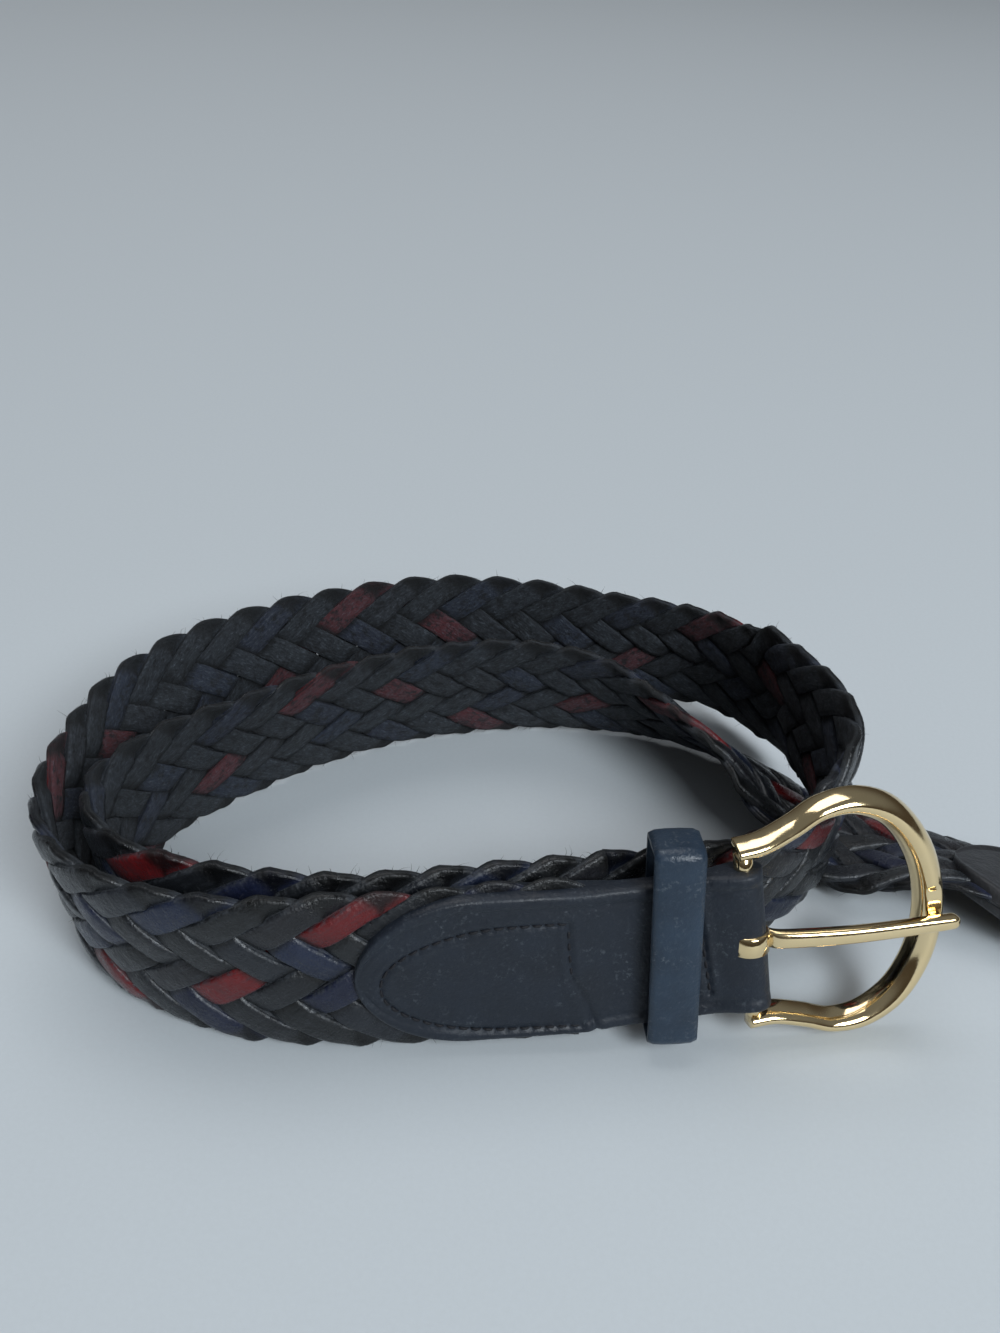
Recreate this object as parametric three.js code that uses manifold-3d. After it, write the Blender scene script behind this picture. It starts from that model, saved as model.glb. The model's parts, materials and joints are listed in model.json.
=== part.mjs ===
// A braided leather belt standing on its edge in a spiral of two turns, with a brass buckle.
// Millimetres, +Z up, +X to the right along the front run, +Y away from the front.

import * as THREE from 'three';
import { mergeVertices } from 'three/addons/utils/BufferGeometryUtils.js';
import Module from 'manifold-3d';

// Spiral
const LOOP_WIDTH = 165;
const LOOP_DEPTH = 117;
const LAYER_GAP = 0.4;
const PIECE_GAP = 0.3;
const STANDING_CLEARANCE = 0.1;
const STATION_STEP = 2.7;
const STATION_MARGIN = 0.2;
const ROUTE_STEPS = 4000;

// Braided band
const BAND_WIDTH = 37.8;
const BAND_THICKNESS = 4;
const BAND_END_THICKNESS = 2;
const BAND_END_WIDTH = 32;
const BAND_TIP_WIDTH = 31;
const BAND_TIP_TAPER = 110;
const SCALLOP_PITCH = 10.45;
const SCALLOP_START = 69.3;
const SCALLOP_DEPTH = 1.5;
const SCALLOP_POWER = 0.6;
const BAND_EDGE_ROUND = 1.3;

// Leather buckle tab, folded round the heel bar
const TAB_WIDTH = 33.6;
const TAB_FOLD_WIDTH = 30.4;
const TAB_FOLD_TAPER = 60;
const TAB_LENGTH = 74.4;
const TAB_WALL = 1.3;
const TAB_SEWN_THICKNESS = 3.8;
const TAB_END_ROUND = 22;
const TAB_EDGE_ROUND = 0.5;
const TAB_END_FLAT = 0.4;
const TAB_BAND_OVERLAP = 42;
const FOLD_WALL = 1.3;
const FOLD_BLEND = 9;
const FOLD_STEPS = 6;
const FOLD_LEAST = 0.35;

// Keeper loop
const KEEPER_WIDTH = 9.4;
const KEEPER_HEIGHT = 43;
const KEEPER_DEPTH = 11;
const KEEPER_WALL = 1.8;
const KEEPER_CORNER = 2.4;
const KEEPER_DISTANCE = 14.8;
const KEEPER_TURN = THREE.MathUtils.degToRad(-7);
const KEEPER_RAISE = 3.1;

// Brass buckle
const HEEL_BAR_RADIUS = 1.8;
const FRAME_LENGTH = 39.8;
const FRAME_HEIGHT = 53.4;
const FRAME_BAR_WIDTH = 5.8;
const FRAME_ARM_SHARE = 0.72;
const FRAME_BAR_THICKNESS = 4.6;
const FRAME_STEPS = 44;
const BUCKLE_SWING = THREE.MathUtils.degToRad(-8);
const NOTCH_DEPTH = 0.7;
const PRONG_WIDTH = 3.9;
const PRONG_THICKNESS = 2.8;
const PRONG_TIP_SHARE = 0.72;
const PRONG_OVERHANG = 1;
const PRONG_DROOP = THREE.MathUtils.degToRad(-4.6);
const PRONG_SLIDE = -0.4;
const PRONG_EYE_PLAY = 0.6;
const PRONG_EYE_WALL = 1.6;
const PRONG_EYE_WIDTH = 4.4;
const PRONG_STEPS = 22;
const BAR_SIDES = 10;
const ROD_SIDES = 16;
const EYE_SIDES = 20;

// Leather tip tab on the free end
const TIP_TAB_LENGTH = 94;
const TIP_TAB_WIDTH = 30;
const TIP_END_ROUND = 15;
const TIP_BAND_OVERLAP = 26;

// Straps that lie on each other
const LAYER_PITCH = BAND_THICKNESS + LAYER_GAP;
const FLAT_TILT = THREE.MathUtils.degToRad(6);
const CROSSING_LIFT = BAND_TIP_WIDTH * Math.sin(FLAT_TILT) + BAND_THICKNESS + LAYER_GAP;
const BUCKLE_LIFT = (FRAME_HEIGHT - BAND_WIDTH) / 2;
const POCKET_THICKNESS = BAND_END_THICKNESS + (PIECE_GAP + TAB_WALL) * 2;
const RESTING = {
  braid: { thickness: BAND_THICKNESS, lift: STANDING_CLEARANCE },
  pocket: { thickness: POCKET_THICKNESS, lift: PIECE_GAP },
  sewn: { thickness: TAB_SEWN_THICKNESS, lift: 0 },
};

// The strap's way, from the heel bar to the tip. x and y are shares of the loop's width and depth
// from its middle. inset is how many layers the strap lies inside that point. lean is how far the
// top edge leans out of the loop, in degrees. heel and cross are shares of the lifts at the buckle
// and where the right bend crosses the free end. kind is what the strap is made of there.
const OUTER_TURN = [
  { x: 0.328, y: -0.428, inset: 0, lean: -12.8, heel: 0.7, cross: 0, kind: 'braid' },
  { x: 0.185, y: -0.448, inset: 0, lean: -9.5, heel: 0.19, cross: 0, kind: 'braid' },
  { x: 0.03, y: -0.476, inset: 0, lean: -7, heel: 0.05, cross: 0, kind: 'braid' },
  { x: -0.118, y: -0.506, inset: 0, lean: -4, heel: 0, cross: 0, kind: 'braid' },
  { x: -0.258, y: -0.514, inset: 0, lean: 2, heel: 0, cross: 0, kind: 'braid' },
  { x: -0.388, y: -0.461, inset: 0, lean: 8, heel: 0, cross: 0, kind: 'braid' },
  { x: -0.469, y: -0.364, inset: 0, lean: 10, heel: 0, cross: 0, kind: 'braid' },
  { x: -0.497, y: -0.247, inset: 0, lean: 11, heel: 0, cross: 0, kind: 'braid' },
  { x: -0.494, y: -0.119, inset: 0, lean: 13, heel: 0, cross: 0, kind: 'braid' },
  { x: -0.467, y: 0.068, inset: 0, lean: 15, heel: 0, cross: 0, kind: 'braid' },
  { x: -0.394, y: 0.225, inset: 0, lean: 15, heel: 0, cross: 0, kind: 'braid' },
  { x: -0.284, y: 0.345, inset: 0, lean: 15, heel: 0, cross: 0, kind: 'braid' },
  { x: -0.158, y: 0.434, inset: 0, lean: 12, heel: 0, cross: 0, kind: 'braid' },
  { x: -0.018, y: 0.49, inset: 0, lean: 6, heel: 0, cross: 0, kind: 'braid' },
  { x: 0.173, y: 0.498, inset: 0, lean: -8, heel: 0, cross: 0, kind: 'braid' },
  { x: 0.325, y: 0.456, inset: 0, lean: -19, heel: 0, cross: 0.3, kind: 'braid' },
  { x: 0.422, y: 0.315, inset: 0, lean: -15, heel: 0, cross: 0.55, kind: 'braid' },
  { x: 0.448, y: 0.2, inset: 0, lean: -11, heel: 0, cross: 1.02, kind: 'braid' },
  { x: 0.477, y: 0.038, inset: 0, lean: -4, heel: 0, cross: 1.28, kind: 'braid' },
  { x: 0.474, y: -0.094, inset: 0, lean: 1, heel: 0, cross: 1.2, kind: 'braid' },
  { x: 0.413, y: -0.214, inset: 0, lean: 5, heel: 0, cross: 0.6, kind: 'braid' },
  { x: 0.312, y: -0.305, inset: 0, lean: 8, heel: 0, cross: 0.16, kind: 'braid' },
];

const INNER_TURN = [
  { x: 0.185, y: -0.448, inset: 2.12, lean: -2, heel: 0, cross: 0, kind: 'braid' },
  { x: 0.03, y: -0.476, inset: 1.42, lean: -4, heel: 0, cross: 0, kind: 'braid' },
  { x: -0.118, y: -0.506, inset: 1.25, lean: -2, heel: 0, cross: 0, kind: 'braid' },
  { x: -0.258, y: -0.514, inset: 1.7, lean: 0, heel: 0, cross: 0, kind: 'braid' },
  { x: -0.388, y: -0.461, inset: 1.9, lean: 6, heel: 0, cross: 0, kind: 'braid' },
  { x: -0.469, y: -0.364, inset: 1.95, lean: 8, heel: 0, cross: 0, kind: 'braid' },
  { x: -0.497, y: -0.247, inset: 2, lean: 6, heel: 0, cross: 0, kind: 'braid' },
  { x: -0.494, y: -0.119, inset: 2.4, lean: -1, heel: 0, cross: 0, kind: 'braid' },
  { x: -0.397, y: -0.045, inset: 0, lean: -10, heel: 0, cross: 0, kind: 'braid' },
  { x: -0.335, y: 0.043, inset: 0, lean: -15, heel: 0, cross: 0, kind: 'braid' },
  { x: -0.251, y: 0.144, inset: 0, lean: -17, heel: 0, cross: 0, kind: 'braid' },
  { x: -0.156, y: 0.234, inset: 0, lean: -18, heel: 0, cross: 0, kind: 'braid' },
  { x: -0.05, y: 0.298, inset: 0, lean: -19, heel: 0, cross: 0, kind: 'braid' },
  { x: 0.064, y: 0.332, inset: 0, lean: -21, heel: 0, cross: 0, kind: 'braid' },
  { x: 0.179, y: 0.323, inset: 0, lean: -27, heel: 0, cross: 0, kind: 'braid' },
  { x: 0.288, y: 0.261, inset: 0, lean: -40, heel: 0, cross: 0, kind: 'braid' },
  { x: 0.377, y: 0.168, inset: 0, lean: -51, heel: 0, cross: 0, kind: 'braid' },
  { x: 0.446, y: 0.074, inset: 0, lean: -69, heel: 0, cross: 0, kind: 'braid' },
  { x: 0.53, y: 0.004, inset: 0, lean: -85, heel: 0, cross: 0, kind: 'braid' },
  { x: 0.655, y: -0.071, inset: 0, lean: -71, heel: 0, cross: 0, kind: 'pocket' },
  { x: 0.74, y: -0.127, inset: 0, lean: -75, heel: 0, cross: 0, kind: 'pocket' },
  { x: 0.825, y: -0.183, inset: 0, lean: -84, heel: 0, cross: 0, kind: 'pocket' },
  { x: 0.91, y: -0.239, inset: 0, lean: -89.5, heel: 0, cross: 0, kind: 'pocket' },
  { x: 0.995, y: -0.295, inset: 0, lean: -90, heel: 0, cross: 0, kind: 'sewn' },
  { x: 1.08, y: -0.351, inset: 0, lean: -90, heel: 0, cross: 0, kind: 'sewn' },
  { x: 1.165, y: -0.407, inset: 0, lean: -90, heel: 0, cross: 0, kind: 'sewn' },
];

const UP = new THREE.Vector3(0, 0, 1);
const wasm = await Module();
wasm.setup();

// A smooth curve through the rows, measured in millimetres from its start.
class StrapRoute {
  constructor(rows) {
    const plan = rows.map((row) => new THREE.Vector3(row.x * LOOP_WIDTH, row.y * LOOP_DEPTH, 0));
    const inset = rows.map((row, i) => {
      const before = plan[Math.max(i - 1, 0)];
      const after = plan[Math.min(i + 1, rows.length - 1)];
      const along = after.clone().sub(before).normalize();
      const inward = new THREE.Vector3(along.y, -along.x, 0);
      return plan[i].clone().addScaledVector(inward, row.inset * LAYER_PITCH);
    });
    const centres = rows.map((row, i) => {
      const lean = THREE.MathUtils.degToRad(row.lean);
      const { thickness, lift } = RESTING[row.kind];
      const rest = (BAND_WIDTH * Math.cos(lean) + thickness * Math.abs(Math.sin(lean))) / 2;
      const height = lift + rest + row.heel * BUCKLE_LIFT + row.cross * CROSSING_LIFT;
      return new THREE.Vector3(inset[i].x, inset[i].y, height);
    });
    this.centre = new THREE.CatmullRomCurve3(centres, false, 'catmullrom');
    this.leans = new THREE.CatmullRomCurve3(
      rows.map((row) => new THREE.Vector3(THREE.MathUtils.degToRad(row.lean), 0, 0)),
      false,
      'catmullrom',
    );
    this.measure();
  }

  measure() {
    this.lengths = [0];
    let last = this.centre.getPoint(0);
    for (let i = 1; i <= ROUTE_STEPS; i += 1) {
      const next = this.centre.getPoint(i / ROUTE_STEPS);
      this.lengths.push(this.lengths[i - 1] + next.distanceTo(last));
      last = next;
    }
    this.length = this.lengths[ROUTE_STEPS];
  }

  parameter(distance) {
    let low = 0;
    let high = ROUTE_STEPS;
    while (high - low > 1) {
      const middle = Math.floor((low + high) / 2);
      if (this.lengths[middle] <= distance) {
        low = middle;
      } else {
        high = middle;
      }
    }
    const span = this.lengths[high] - this.lengths[low];
    return (low + (distance - this.lengths[low]) / span) / ROUTE_STEPS;
  }

  // Place and directions of the strap at a distance: along, up across its width, and out of the loop.
  frame(distance) {
    const inside = THREE.MathUtils.clamp(distance, 0, this.length);
    const t = this.parameter(inside);
    const along = this.centre.getTangent(THREE.MathUtils.clamp(t, 0, 1));
    const lean = this.leans.getPoint(THREE.MathUtils.clamp(t, 0, 1)).x;
    const level = new THREE.Vector3(-along.y, along.x, 0).normalize();
    const upright = UP.clone().addScaledVector(along, -UP.dot(along)).normalize();
    const up = upright.multiplyScalar(Math.cos(lean)).addScaledVector(level, Math.sin(lean)).normalize();
    const out = new THREE.Vector3().crossVectors(up, along).normalize();
    const place = this.centre.getPoint(THREE.MathUtils.clamp(t, 0, 1));
    place.addScaledVector(along, distance - inside);
    return { place, along, up, out };
  }
}

// A closed body through rings of points, with a fan over each end.
function loft(rings) {
  const sides = rings[0].length;
  const positions = [];
  const push = (point) => positions.push(point.x, point.y, point.z);
  rings.forEach((ring) => ring.forEach(push));
  const middle = (ring) => ring.reduce((sum, p) => sum.add(p), new THREE.Vector3()).divideScalar(sides);
  push(middle(rings[0]));
  push(middle(rings[rings.length - 1]));
  const index = [];
  for (let i = 0; i < rings.length - 1; i += 1) {
    for (let j = 0; j < sides; j += 1) {
      const next = (j + 1) % sides;
      const a = i * sides + j;
      const b = i * sides + next;
      index.push(a, b, b + sides, a, b + sides, a + sides);
    }
  }
  const startFan = rings.length * sides;
  const endRing = (rings.length - 1) * sides;
  for (let j = 0; j < sides; j += 1) {
    const next = (j + 1) % sides;
    index.push(startFan, next, j);
    index.push(startFan + 1, endRing + j, endRing + next);
  }
  const geometry = new THREE.BufferGeometry();
  geometry.setAttribute('position', new THREE.Float32BufferAttribute(positions, 3));
  geometry.setIndex(index);
  return geometry;
}

function toSolid(geometry) {
  const plain = geometry.clone();
  plain.deleteAttribute('normal');
  plain.deleteAttribute('uv');
  const merged = mergeVertices(plain);
  return new wasm.Manifold(new wasm.Mesh({
    numProp: 3,
    vertProperties: new Float32Array(merged.attributes.position.array),
    triVerts: new Uint32Array(merged.index.array),
  }));
}

function toGeometry(solid) {
  const mesh = solid.getMesh();
  const geometry = new THREE.BufferGeometry();
  geometry.setAttribute('position', new THREE.Float32BufferAttribute(mesh.vertProperties, 3));
  geometry.setIndex(Array.from(mesh.triVerts));
  return geometry;
}

// A strap's section of eight points, anticlockwise seen from ahead on the strap.
function strapSection(halfTop, halfBottom, halfThickness, round) {
  const edge = halfThickness * 0.5;
  return [
    [halfTop, edge],
    [halfTop, -edge],
    [halfTop - round, -halfThickness],
    [-halfBottom + round, -halfThickness],
    [-halfBottom, -edge],
    [-halfBottom, edge],
    [-halfBottom + round, halfThickness],
    [halfTop - round, halfThickness],
  ];
}

// Every sweep along the strap shares these stations, so pieces inside each other keep their gap.
function stations(from, to) {
  const first = Math.ceil(from / STATION_STEP + STATION_MARGIN);
  const last = Math.floor(to / STATION_STEP - STATION_MARGIN);
  const places = [from];
  for (let i = first; i <= last; i += 1) {
    places.push(i * STATION_STEP);
  }
  places.push(to);
  return places;
}

function sweepStrap(route, from, to, sectionAt) {
  return loft(stations(from, to).map((distance) => strapRing(route, distance, sectionAt(distance))));
}

function strapRing(route, distance, section) {
  const { place, up, out } = route.frame(distance);
  return section.map(([b, n]) => place.clone().addScaledVector(up, b).addScaledVector(out, n));
}

function smooth(value, from, to) {
  return THREE.MathUtils.smoothstep(value, from, to);
}

// How far a rounded end has narrowed the half width at a distance inside it.
function roundedEnd(halfWidth, inside, roundLength) {
  const reach = THREE.MathUtils.clamp(inside / roundLength, 0, 1);
  return halfWidth * Math.sqrt(Math.max(1 - (1 - reach) ** 2, 0));
}

const route = new StrapRoute([...OUTER_TURN, ...INNER_TURN]);
const HEEL = route.frame(0);
const BAND_START = TAB_LENGTH - TAB_BAND_OVERLAP;
const TIP_END = route.length;
const TIP_START = TIP_END - TIP_TAB_LENGTH;
const BAND_END = TIP_START + TIP_BAND_OVERLAP;

// The strap behind the tab is where the outer turn ends and the inner turn starts.
const TURN_JOIN = joinDistance();

function joinDistance() {
  const total = OUTER_TURN.length + INNER_TURN.length - 1;
  const row = OUTER_TURN.length;
  return route.lengths[Math.round((row / total) * ROUTE_STEPS)];
}

// Rounded bumps along an edge, a pitch apart.
function scallop(distance, offset) {
  const phase = (distance - SCALLOP_START) / SCALLOP_PITCH + offset;
  return SCALLOP_DEPTH * (1 - Math.abs(Math.sin(Math.PI * phase)) ** SCALLOP_POWER);
}

function bandWidth(distance) {
  const narrowed = smooth(distance, TIP_START - BAND_TIP_TAPER, TIP_START);
  return THREE.MathUtils.lerp(BAND_WIDTH, BAND_TIP_WIDTH, narrowed);
}

// The braid is full where it is free, and flat and narrow where it is sewn into a tab.
function bandSection(distance) {
  const free = Math.min(
    smooth(distance, TAB_LENGTH, TAB_LENGTH + SCALLOP_PITCH),
    1 - smooth(distance, TIP_START - SCALLOP_PITCH, TIP_START),
  );
  const wide = Math.min(
    smooth(distance, TAB_LENGTH - TAB_END_ROUND * 1.4, TAB_LENGTH - TAB_END_ROUND * 0.4),
    1 - smooth(distance, TIP_START + TIP_END_ROUND * 0.3, TIP_START + TIP_END_ROUND * 1.2),
  );
  const halfThickness = THREE.MathUtils.lerp(BAND_END_THICKNESS, BAND_THICKNESS, free) / 2;
  const half = bandWidth(distance) / 2;
  const top = half - scallop(distance, 0.5);
  const bottom = half - scallop(distance, 0);
  const sewn = (bandWidth(distance) / BAND_WIDTH) * (BAND_END_WIDTH / 2);
  const halfTop = THREE.MathUtils.lerp(sewn, top, wide);
  const halfBottom = THREE.MathUtils.lerp(sewn, bottom, wide);
  return strapSection(halfTop, halfBottom, halfThickness, Math.min(BAND_EDGE_ROUND, halfThickness));
}

function braidedTurn(from, to) {
  return sweepStrap(route, from, to, bandSection);
}

// Two walls with the braid's end between them, sewn flat past it.
function tabHalfThickness(pastBand) {
  return THREE.MathUtils.lerp(POCKET_THICKNESS, TAB_SEWN_THICKNESS, pastBand) / 2;
}

function bandPocket(from, to) {
  const half = BAND_END_THICKNESS / 2 + PIECE_GAP;
  const reach = Math.max(TAB_WIDTH, TIP_TAB_WIDTH) / 2 + TAB_WALL;
  const section = strapSection(reach, reach, half, half / 2);
  return toSolid(sweepStrap(route, from, to, () => section));
}

function buckleTab() {
  const foldRadius = HEEL_BAR_RADIUS + PIECE_GAP + FOLD_WALL;
  const sectionAt = (distance) => {
    const sewn = tabHalfThickness(1 - smooth(distance, BAND_START - FOLD_BLEND, BAND_START));
    const reach = THREE.MathUtils.clamp(Math.abs(distance) / foldRadius, 0, 1);
    const fold = foldRadius * Math.sqrt(1 - reach * reach);
    const blend = smooth(distance, 0, FOLD_BLEND);
    const past = THREE.MathUtils.lerp(foldRadius, sewn, blend);
    const halfThickness = distance < 0 ? Math.max(fold, FOLD_LEAST) : past;
    const width = THREE.MathUtils.lerp(TAB_FOLD_WIDTH, TAB_WIDTH, smooth(distance, 0, TAB_FOLD_TAPER));
    const half = roundedEnd(width / 2, TAB_LENGTH - distance + TAB_END_FLAT, TAB_END_ROUND);
    return strapSection(half, half, halfThickness, Math.min(TAB_EDGE_ROUND, halfThickness / 2));
  };
  const rings = [];
  for (let i = 0; i <= FOLD_STEPS; i += 1) {
    const turn = (i / FOLD_STEPS) * (Math.PI / 2);
    const distance = -foldRadius * Math.cos(turn);
    rings.push(strapRing(route, distance, sectionAt(distance)));
  }
  stations(0, TAB_LENGTH).slice(1).forEach((distance) => {
    rings.push(strapRing(route, distance, sectionAt(distance)));
  });
  const envelope = toSolid(loft(rings));
  const pocket = bandPocket(BAND_START - PIECE_GAP, TAB_LENGTH + SCALLOP_PITCH);
  const bore = heelRod(HEEL_BAR_RADIUS + PIECE_GAP, TAB_WIDTH + FOLD_WALL);
  return toGeometry(envelope.subtract(pocket).subtract(bore).subtract(prongSlot(foldRadius)));
}

// The slot through the fold that the prong's eye turns in.
function prongSlot(foldRadius) {
  const eyeRadius = HEEL_BAR_RADIUS + PRONG_EYE_PLAY + PRONG_EYE_WALL;
  const length = eyeRadius + PIECE_GAP * 3 + foldRadius * 2;
  const width = PRONG_EYE_WIDTH + (PRONG_EYE_PLAY + PIECE_GAP) * 2;
  const slot = new THREE.BoxGeometry(length, width, foldRadius * 4);
  const centre = eyeRadius + PIECE_GAP * 3 - length / 2;
  slot.translate(centre, PRONG_SLIDE, 0);
  return toSolid(slot.applyMatrix4(heelMatrix()));
}

// A round rod on the heel bar's axis.
function heelRod(radius, height) {
  const rod = new THREE.CylinderGeometry(radius, radius, height, ROD_SIDES);
  return toSolid(rod.applyMatrix4(heelMatrix()));
}

// The strap's axes at the heel bar: along, up, and into the loop.
function heelMatrix() {
  const inward = HEEL.out.clone().negate();
  const axes = new THREE.Matrix4().makeBasis(HEEL.along, HEEL.up, inward);
  return axes.setPosition(HEEL.place);
}

function tipTab() {
  const sectionAt = (distance) => {
    const halfThickness = tabHalfThickness(smooth(distance, BAND_END, BAND_END + FOLD_BLEND));
    const start = roundedEnd(TIP_TAB_WIDTH / 2, distance - TIP_START + TAB_END_FLAT, TIP_END_ROUND);
    const end = roundedEnd(TIP_TAB_WIDTH / 2, TIP_END - distance + TAB_END_FLAT, TIP_END_ROUND);
    const half = Math.min(start, end);
    return strapSection(half, half, halfThickness, Math.min(TAB_EDGE_ROUND, half / 2));
  };
  const envelope = toSolid(sweepStrap(route, TIP_START, TIP_END, sectionAt));
  return toGeometry(envelope.subtract(bandPocket(TIP_START - SCALLOP_PITCH, BAND_END + PIECE_GAP)));
}

function roundedRectangle(path, width, height, corner) {
  const x = width / 2;
  const y = height / 2;
  path.moveTo(-x + corner, -y);
  path.lineTo(x - corner, -y);
  path.quadraticCurveTo(x, -y, x, -y + corner);
  path.lineTo(x, y - corner);
  path.quadraticCurveTo(x, y, x - corner, y);
  path.lineTo(-x + corner, y);
  path.quadraticCurveTo(-x, y, -x, y - corner);
  path.lineTo(-x, -y + corner);
  path.quadraticCurveTo(-x, -y, -x + corner, -y);
  return path;
}

// A closed leather loop round the tab, with room in front for the free end.
function keeperLoop() {
  const shape = roundedRectangle(new THREE.Shape(), KEEPER_DEPTH, KEEPER_HEIGHT, KEEPER_CORNER);
  const hole = roundedRectangle(
    new THREE.Path(),
    KEEPER_DEPTH - KEEPER_WALL * 2,
    KEEPER_HEIGHT - KEEPER_WALL * 2,
    KEEPER_CORNER - KEEPER_WALL / 2,
  );
  shape.holes.push(hole);
  const settings = { depth: KEEPER_WIDTH, bevelEnabled: false, curveSegments: 4 };
  const loop = new THREE.ExtrudeGeometry(shape, settings);
  loop.translate(0, KEEPER_RAISE, -KEEPER_WIDTH / 2).rotateX(KEEPER_TURN);
  const at = route.frame(KEEPER_DISTANCE);
  const behindTab = TAB_SEWN_THICKNESS / 2 + PIECE_GAP + KEEPER_WALL;
  const centre = at.place.clone().addScaledVector(at.out, KEEPER_DEPTH / 2 - behindTab - FOLD_WALL / 4);
  loop.applyMatrix4(new THREE.Matrix4().makeBasis(at.out, at.up, at.along).setPosition(centre));
  return loop;
}

// The buckle's own axes at the heel bar: away from the strap, up, and out of the loop.
function buckleMatrix() {
  const away = HEEL.along.clone().negate().applyAxisAngle(HEEL.up, -BUCKLE_SWING);
  const out = HEEL.out.clone().applyAxisAngle(HEEL.up, -BUCKLE_SWING);
  return new THREE.Matrix4().makeBasis(away, HEEL.up, out).setPosition(HEEL.place);
}

// Half of the frame's middle line. a is a share of its length, arm of the height of its ends and
// bow of the height of its widest place.
const FRAME_LINE = [
  { a: -0.03, arm: 1, bow: 0 },
  { a: 0.11, arm: 1.02, bow: 0 },
  { a: 0.27, arm: 0, bow: 0.88 },
  { a: 0.43, arm: 0, bow: 0.99 },
  { a: 0.62, arm: 0, bow: 0.985 },
  { a: 0.81, arm: 0, bow: 0.81 },
  { a: 0.95, arm: 0, bow: 0.45 },
  { a: 1, arm: 0, bow: 0 },
];

function buckleFrame() {
  const length = FRAME_LENGTH - FRAME_BAR_WIDTH / 2;
  const half = FRAME_HEIGHT / 2 - FRAME_BAR_WIDTH / 2;
  const arm = TAB_FOLD_WIDTH / 2 + PIECE_GAP + FRAME_BAR_WIDTH / 2;
  const upper = FRAME_LINE.map((row) => {
    const height = row.arm * arm + row.bow * half;
    return new THREE.Vector3(row.a * length, height, 0);
  });
  const lower = upper.slice(0, -1).reverse().map((p) => new THREE.Vector3(p.x, -p.y, 0));
  const line = new THREE.CatmullRomCurve3([...upper, ...lower], false, 'catmullrom');
  const rings = [];
  for (let i = 0; i <= FRAME_STEPS; i += 1) {
    const centre = line.getPoint(i / FRAME_STEPS);
    const along = line.getTangent(i / FRAME_STEPS);
    const across = new THREE.Vector3(-along.y, along.x, 0);
    const broad = smooth(centre.x, length * 0.3, length * 0.8);
    const width = THREE.MathUtils.lerp(FRAME_ARM_SHARE, 1, broad) * FRAME_BAR_WIDTH;
    const ring = [];
    for (let j = 0; j < BAR_SIDES; j += 1) {
      const turn = (j / (BAR_SIDES - 1)) * Math.PI;
      const side = (Math.cos(turn) * width) / 2;
      const front = -FRAME_BAR_THICKNESS / 2 + Math.sin(turn) * FRAME_BAR_THICKNESS;
      ring.push(centre.clone().addScaledVector(across, side).add(new THREE.Vector3(0, 0, front)));
    }
    rings.push(ring);
  }
  const bow = toSolid(loft(rings));
  const bar = new THREE.CylinderGeometry(HEEL_BAR_RADIUS, HEEL_BAR_RADIUS, arm * 2, ROD_SIDES);
  const notchWidth = PRONG_WIDTH + PIECE_GAP * 4;
  const notch = new THREE.BoxGeometry(FRAME_BAR_WIDTH * 3, notchWidth, FRAME_BAR_THICKNESS);
  notch.translate(length, 0, FRAME_BAR_THICKNESS - NOTCH_DEPTH);
  const solid = bow.add(toSolid(bar)).subtract(toSolid(notch));
  return toGeometry(solid).applyMatrix4(buckleMatrix());
}

// An eye round the heel bar and a shank that bends up over the frame.
function buckleProng() {
  const eyeInner = HEEL_BAR_RADIUS + PRONG_EYE_PLAY;
  const eyeOuter = eyeInner + PRONG_EYE_WALL;
  const halfEye = PRONG_EYE_WIDTH / 2;
  const profile = [
    new THREE.Vector2(eyeInner, -halfEye),
    new THREE.Vector2(eyeOuter, -halfEye),
    new THREE.Vector2(eyeOuter, halfEye),
    new THREE.Vector2(eyeInner, halfEye),
    new THREE.Vector2(eyeInner, -halfEye),
  ];
  const eye = new THREE.LatheGeometry(profile, EYE_SIDES);
  const overFrame = FRAME_BAR_THICKNESS / 2 + PIECE_GAP + PRONG_THICKNESS / 2;
  const tip = FRAME_LENGTH + PRONG_OVERHANG;
  const rise = [
    { a: eyeInner + PRONG_EYE_WALL / 2, n: 0 },
    { a: eyeOuter + PRONG_THICKNESS, n: overFrame * 0.45 },
    { a: FRAME_LENGTH * 0.5, n: overFrame * 0.9 },
    { a: FRAME_LENGTH - FRAME_BAR_WIDTH, n: overFrame },
    { a: tip, n: overFrame },
  ];
  const shank = rise.map((row) => new THREE.Vector3(row.a, 0, row.n));
  const line = new THREE.CatmullRomCurve3(shank, false, 'catmullrom');
  const rings = [];
  for (let i = 0; i <= PRONG_STEPS; i += 1) {
    const share = i / PRONG_STEPS;
    const centre = line.getPoint(share);
    const taper = THREE.MathUtils.lerp(1, PRONG_TIP_SHARE, share);
    const round = roundedEnd(1, tip - centre.x + PIECE_GAP / 2, PRONG_WIDTH * 0.4);
    const ring = [];
    for (let j = 0; j < BAR_SIDES; j += 1) {
      const turn = (j / BAR_SIDES) * Math.PI * 2;
      const side = Math.cos(turn) * (PRONG_WIDTH / 2) * taper * round;
      const front = Math.sin(turn) * (PRONG_THICKNESS / 2) * round;
      ring.push(centre.clone().add(new THREE.Vector3(0, side, front)));
    }
    rings.push(ring);
  }
  const rod = new THREE.CylinderGeometry(eyeInner, eyeInner, PRONG_EYE_WIDTH * 2, EYE_SIDES);
  const solid = toSolid(loft(rings)).subtract(toSolid(rod)).add(toSolid(eye));
  const prong = toGeometry(solid).rotateZ(PRONG_DROOP).translate(0, PRONG_SLIDE, 0);
  return prong.applyMatrix4(buckleMatrix());
}

const LEATHER = { color: 0x26282d, roughness: 0.55, metalness: 0 };
const BRASS = { color: 0xd2ab5c, roughness: 0.18, metalness: 1 };

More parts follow.
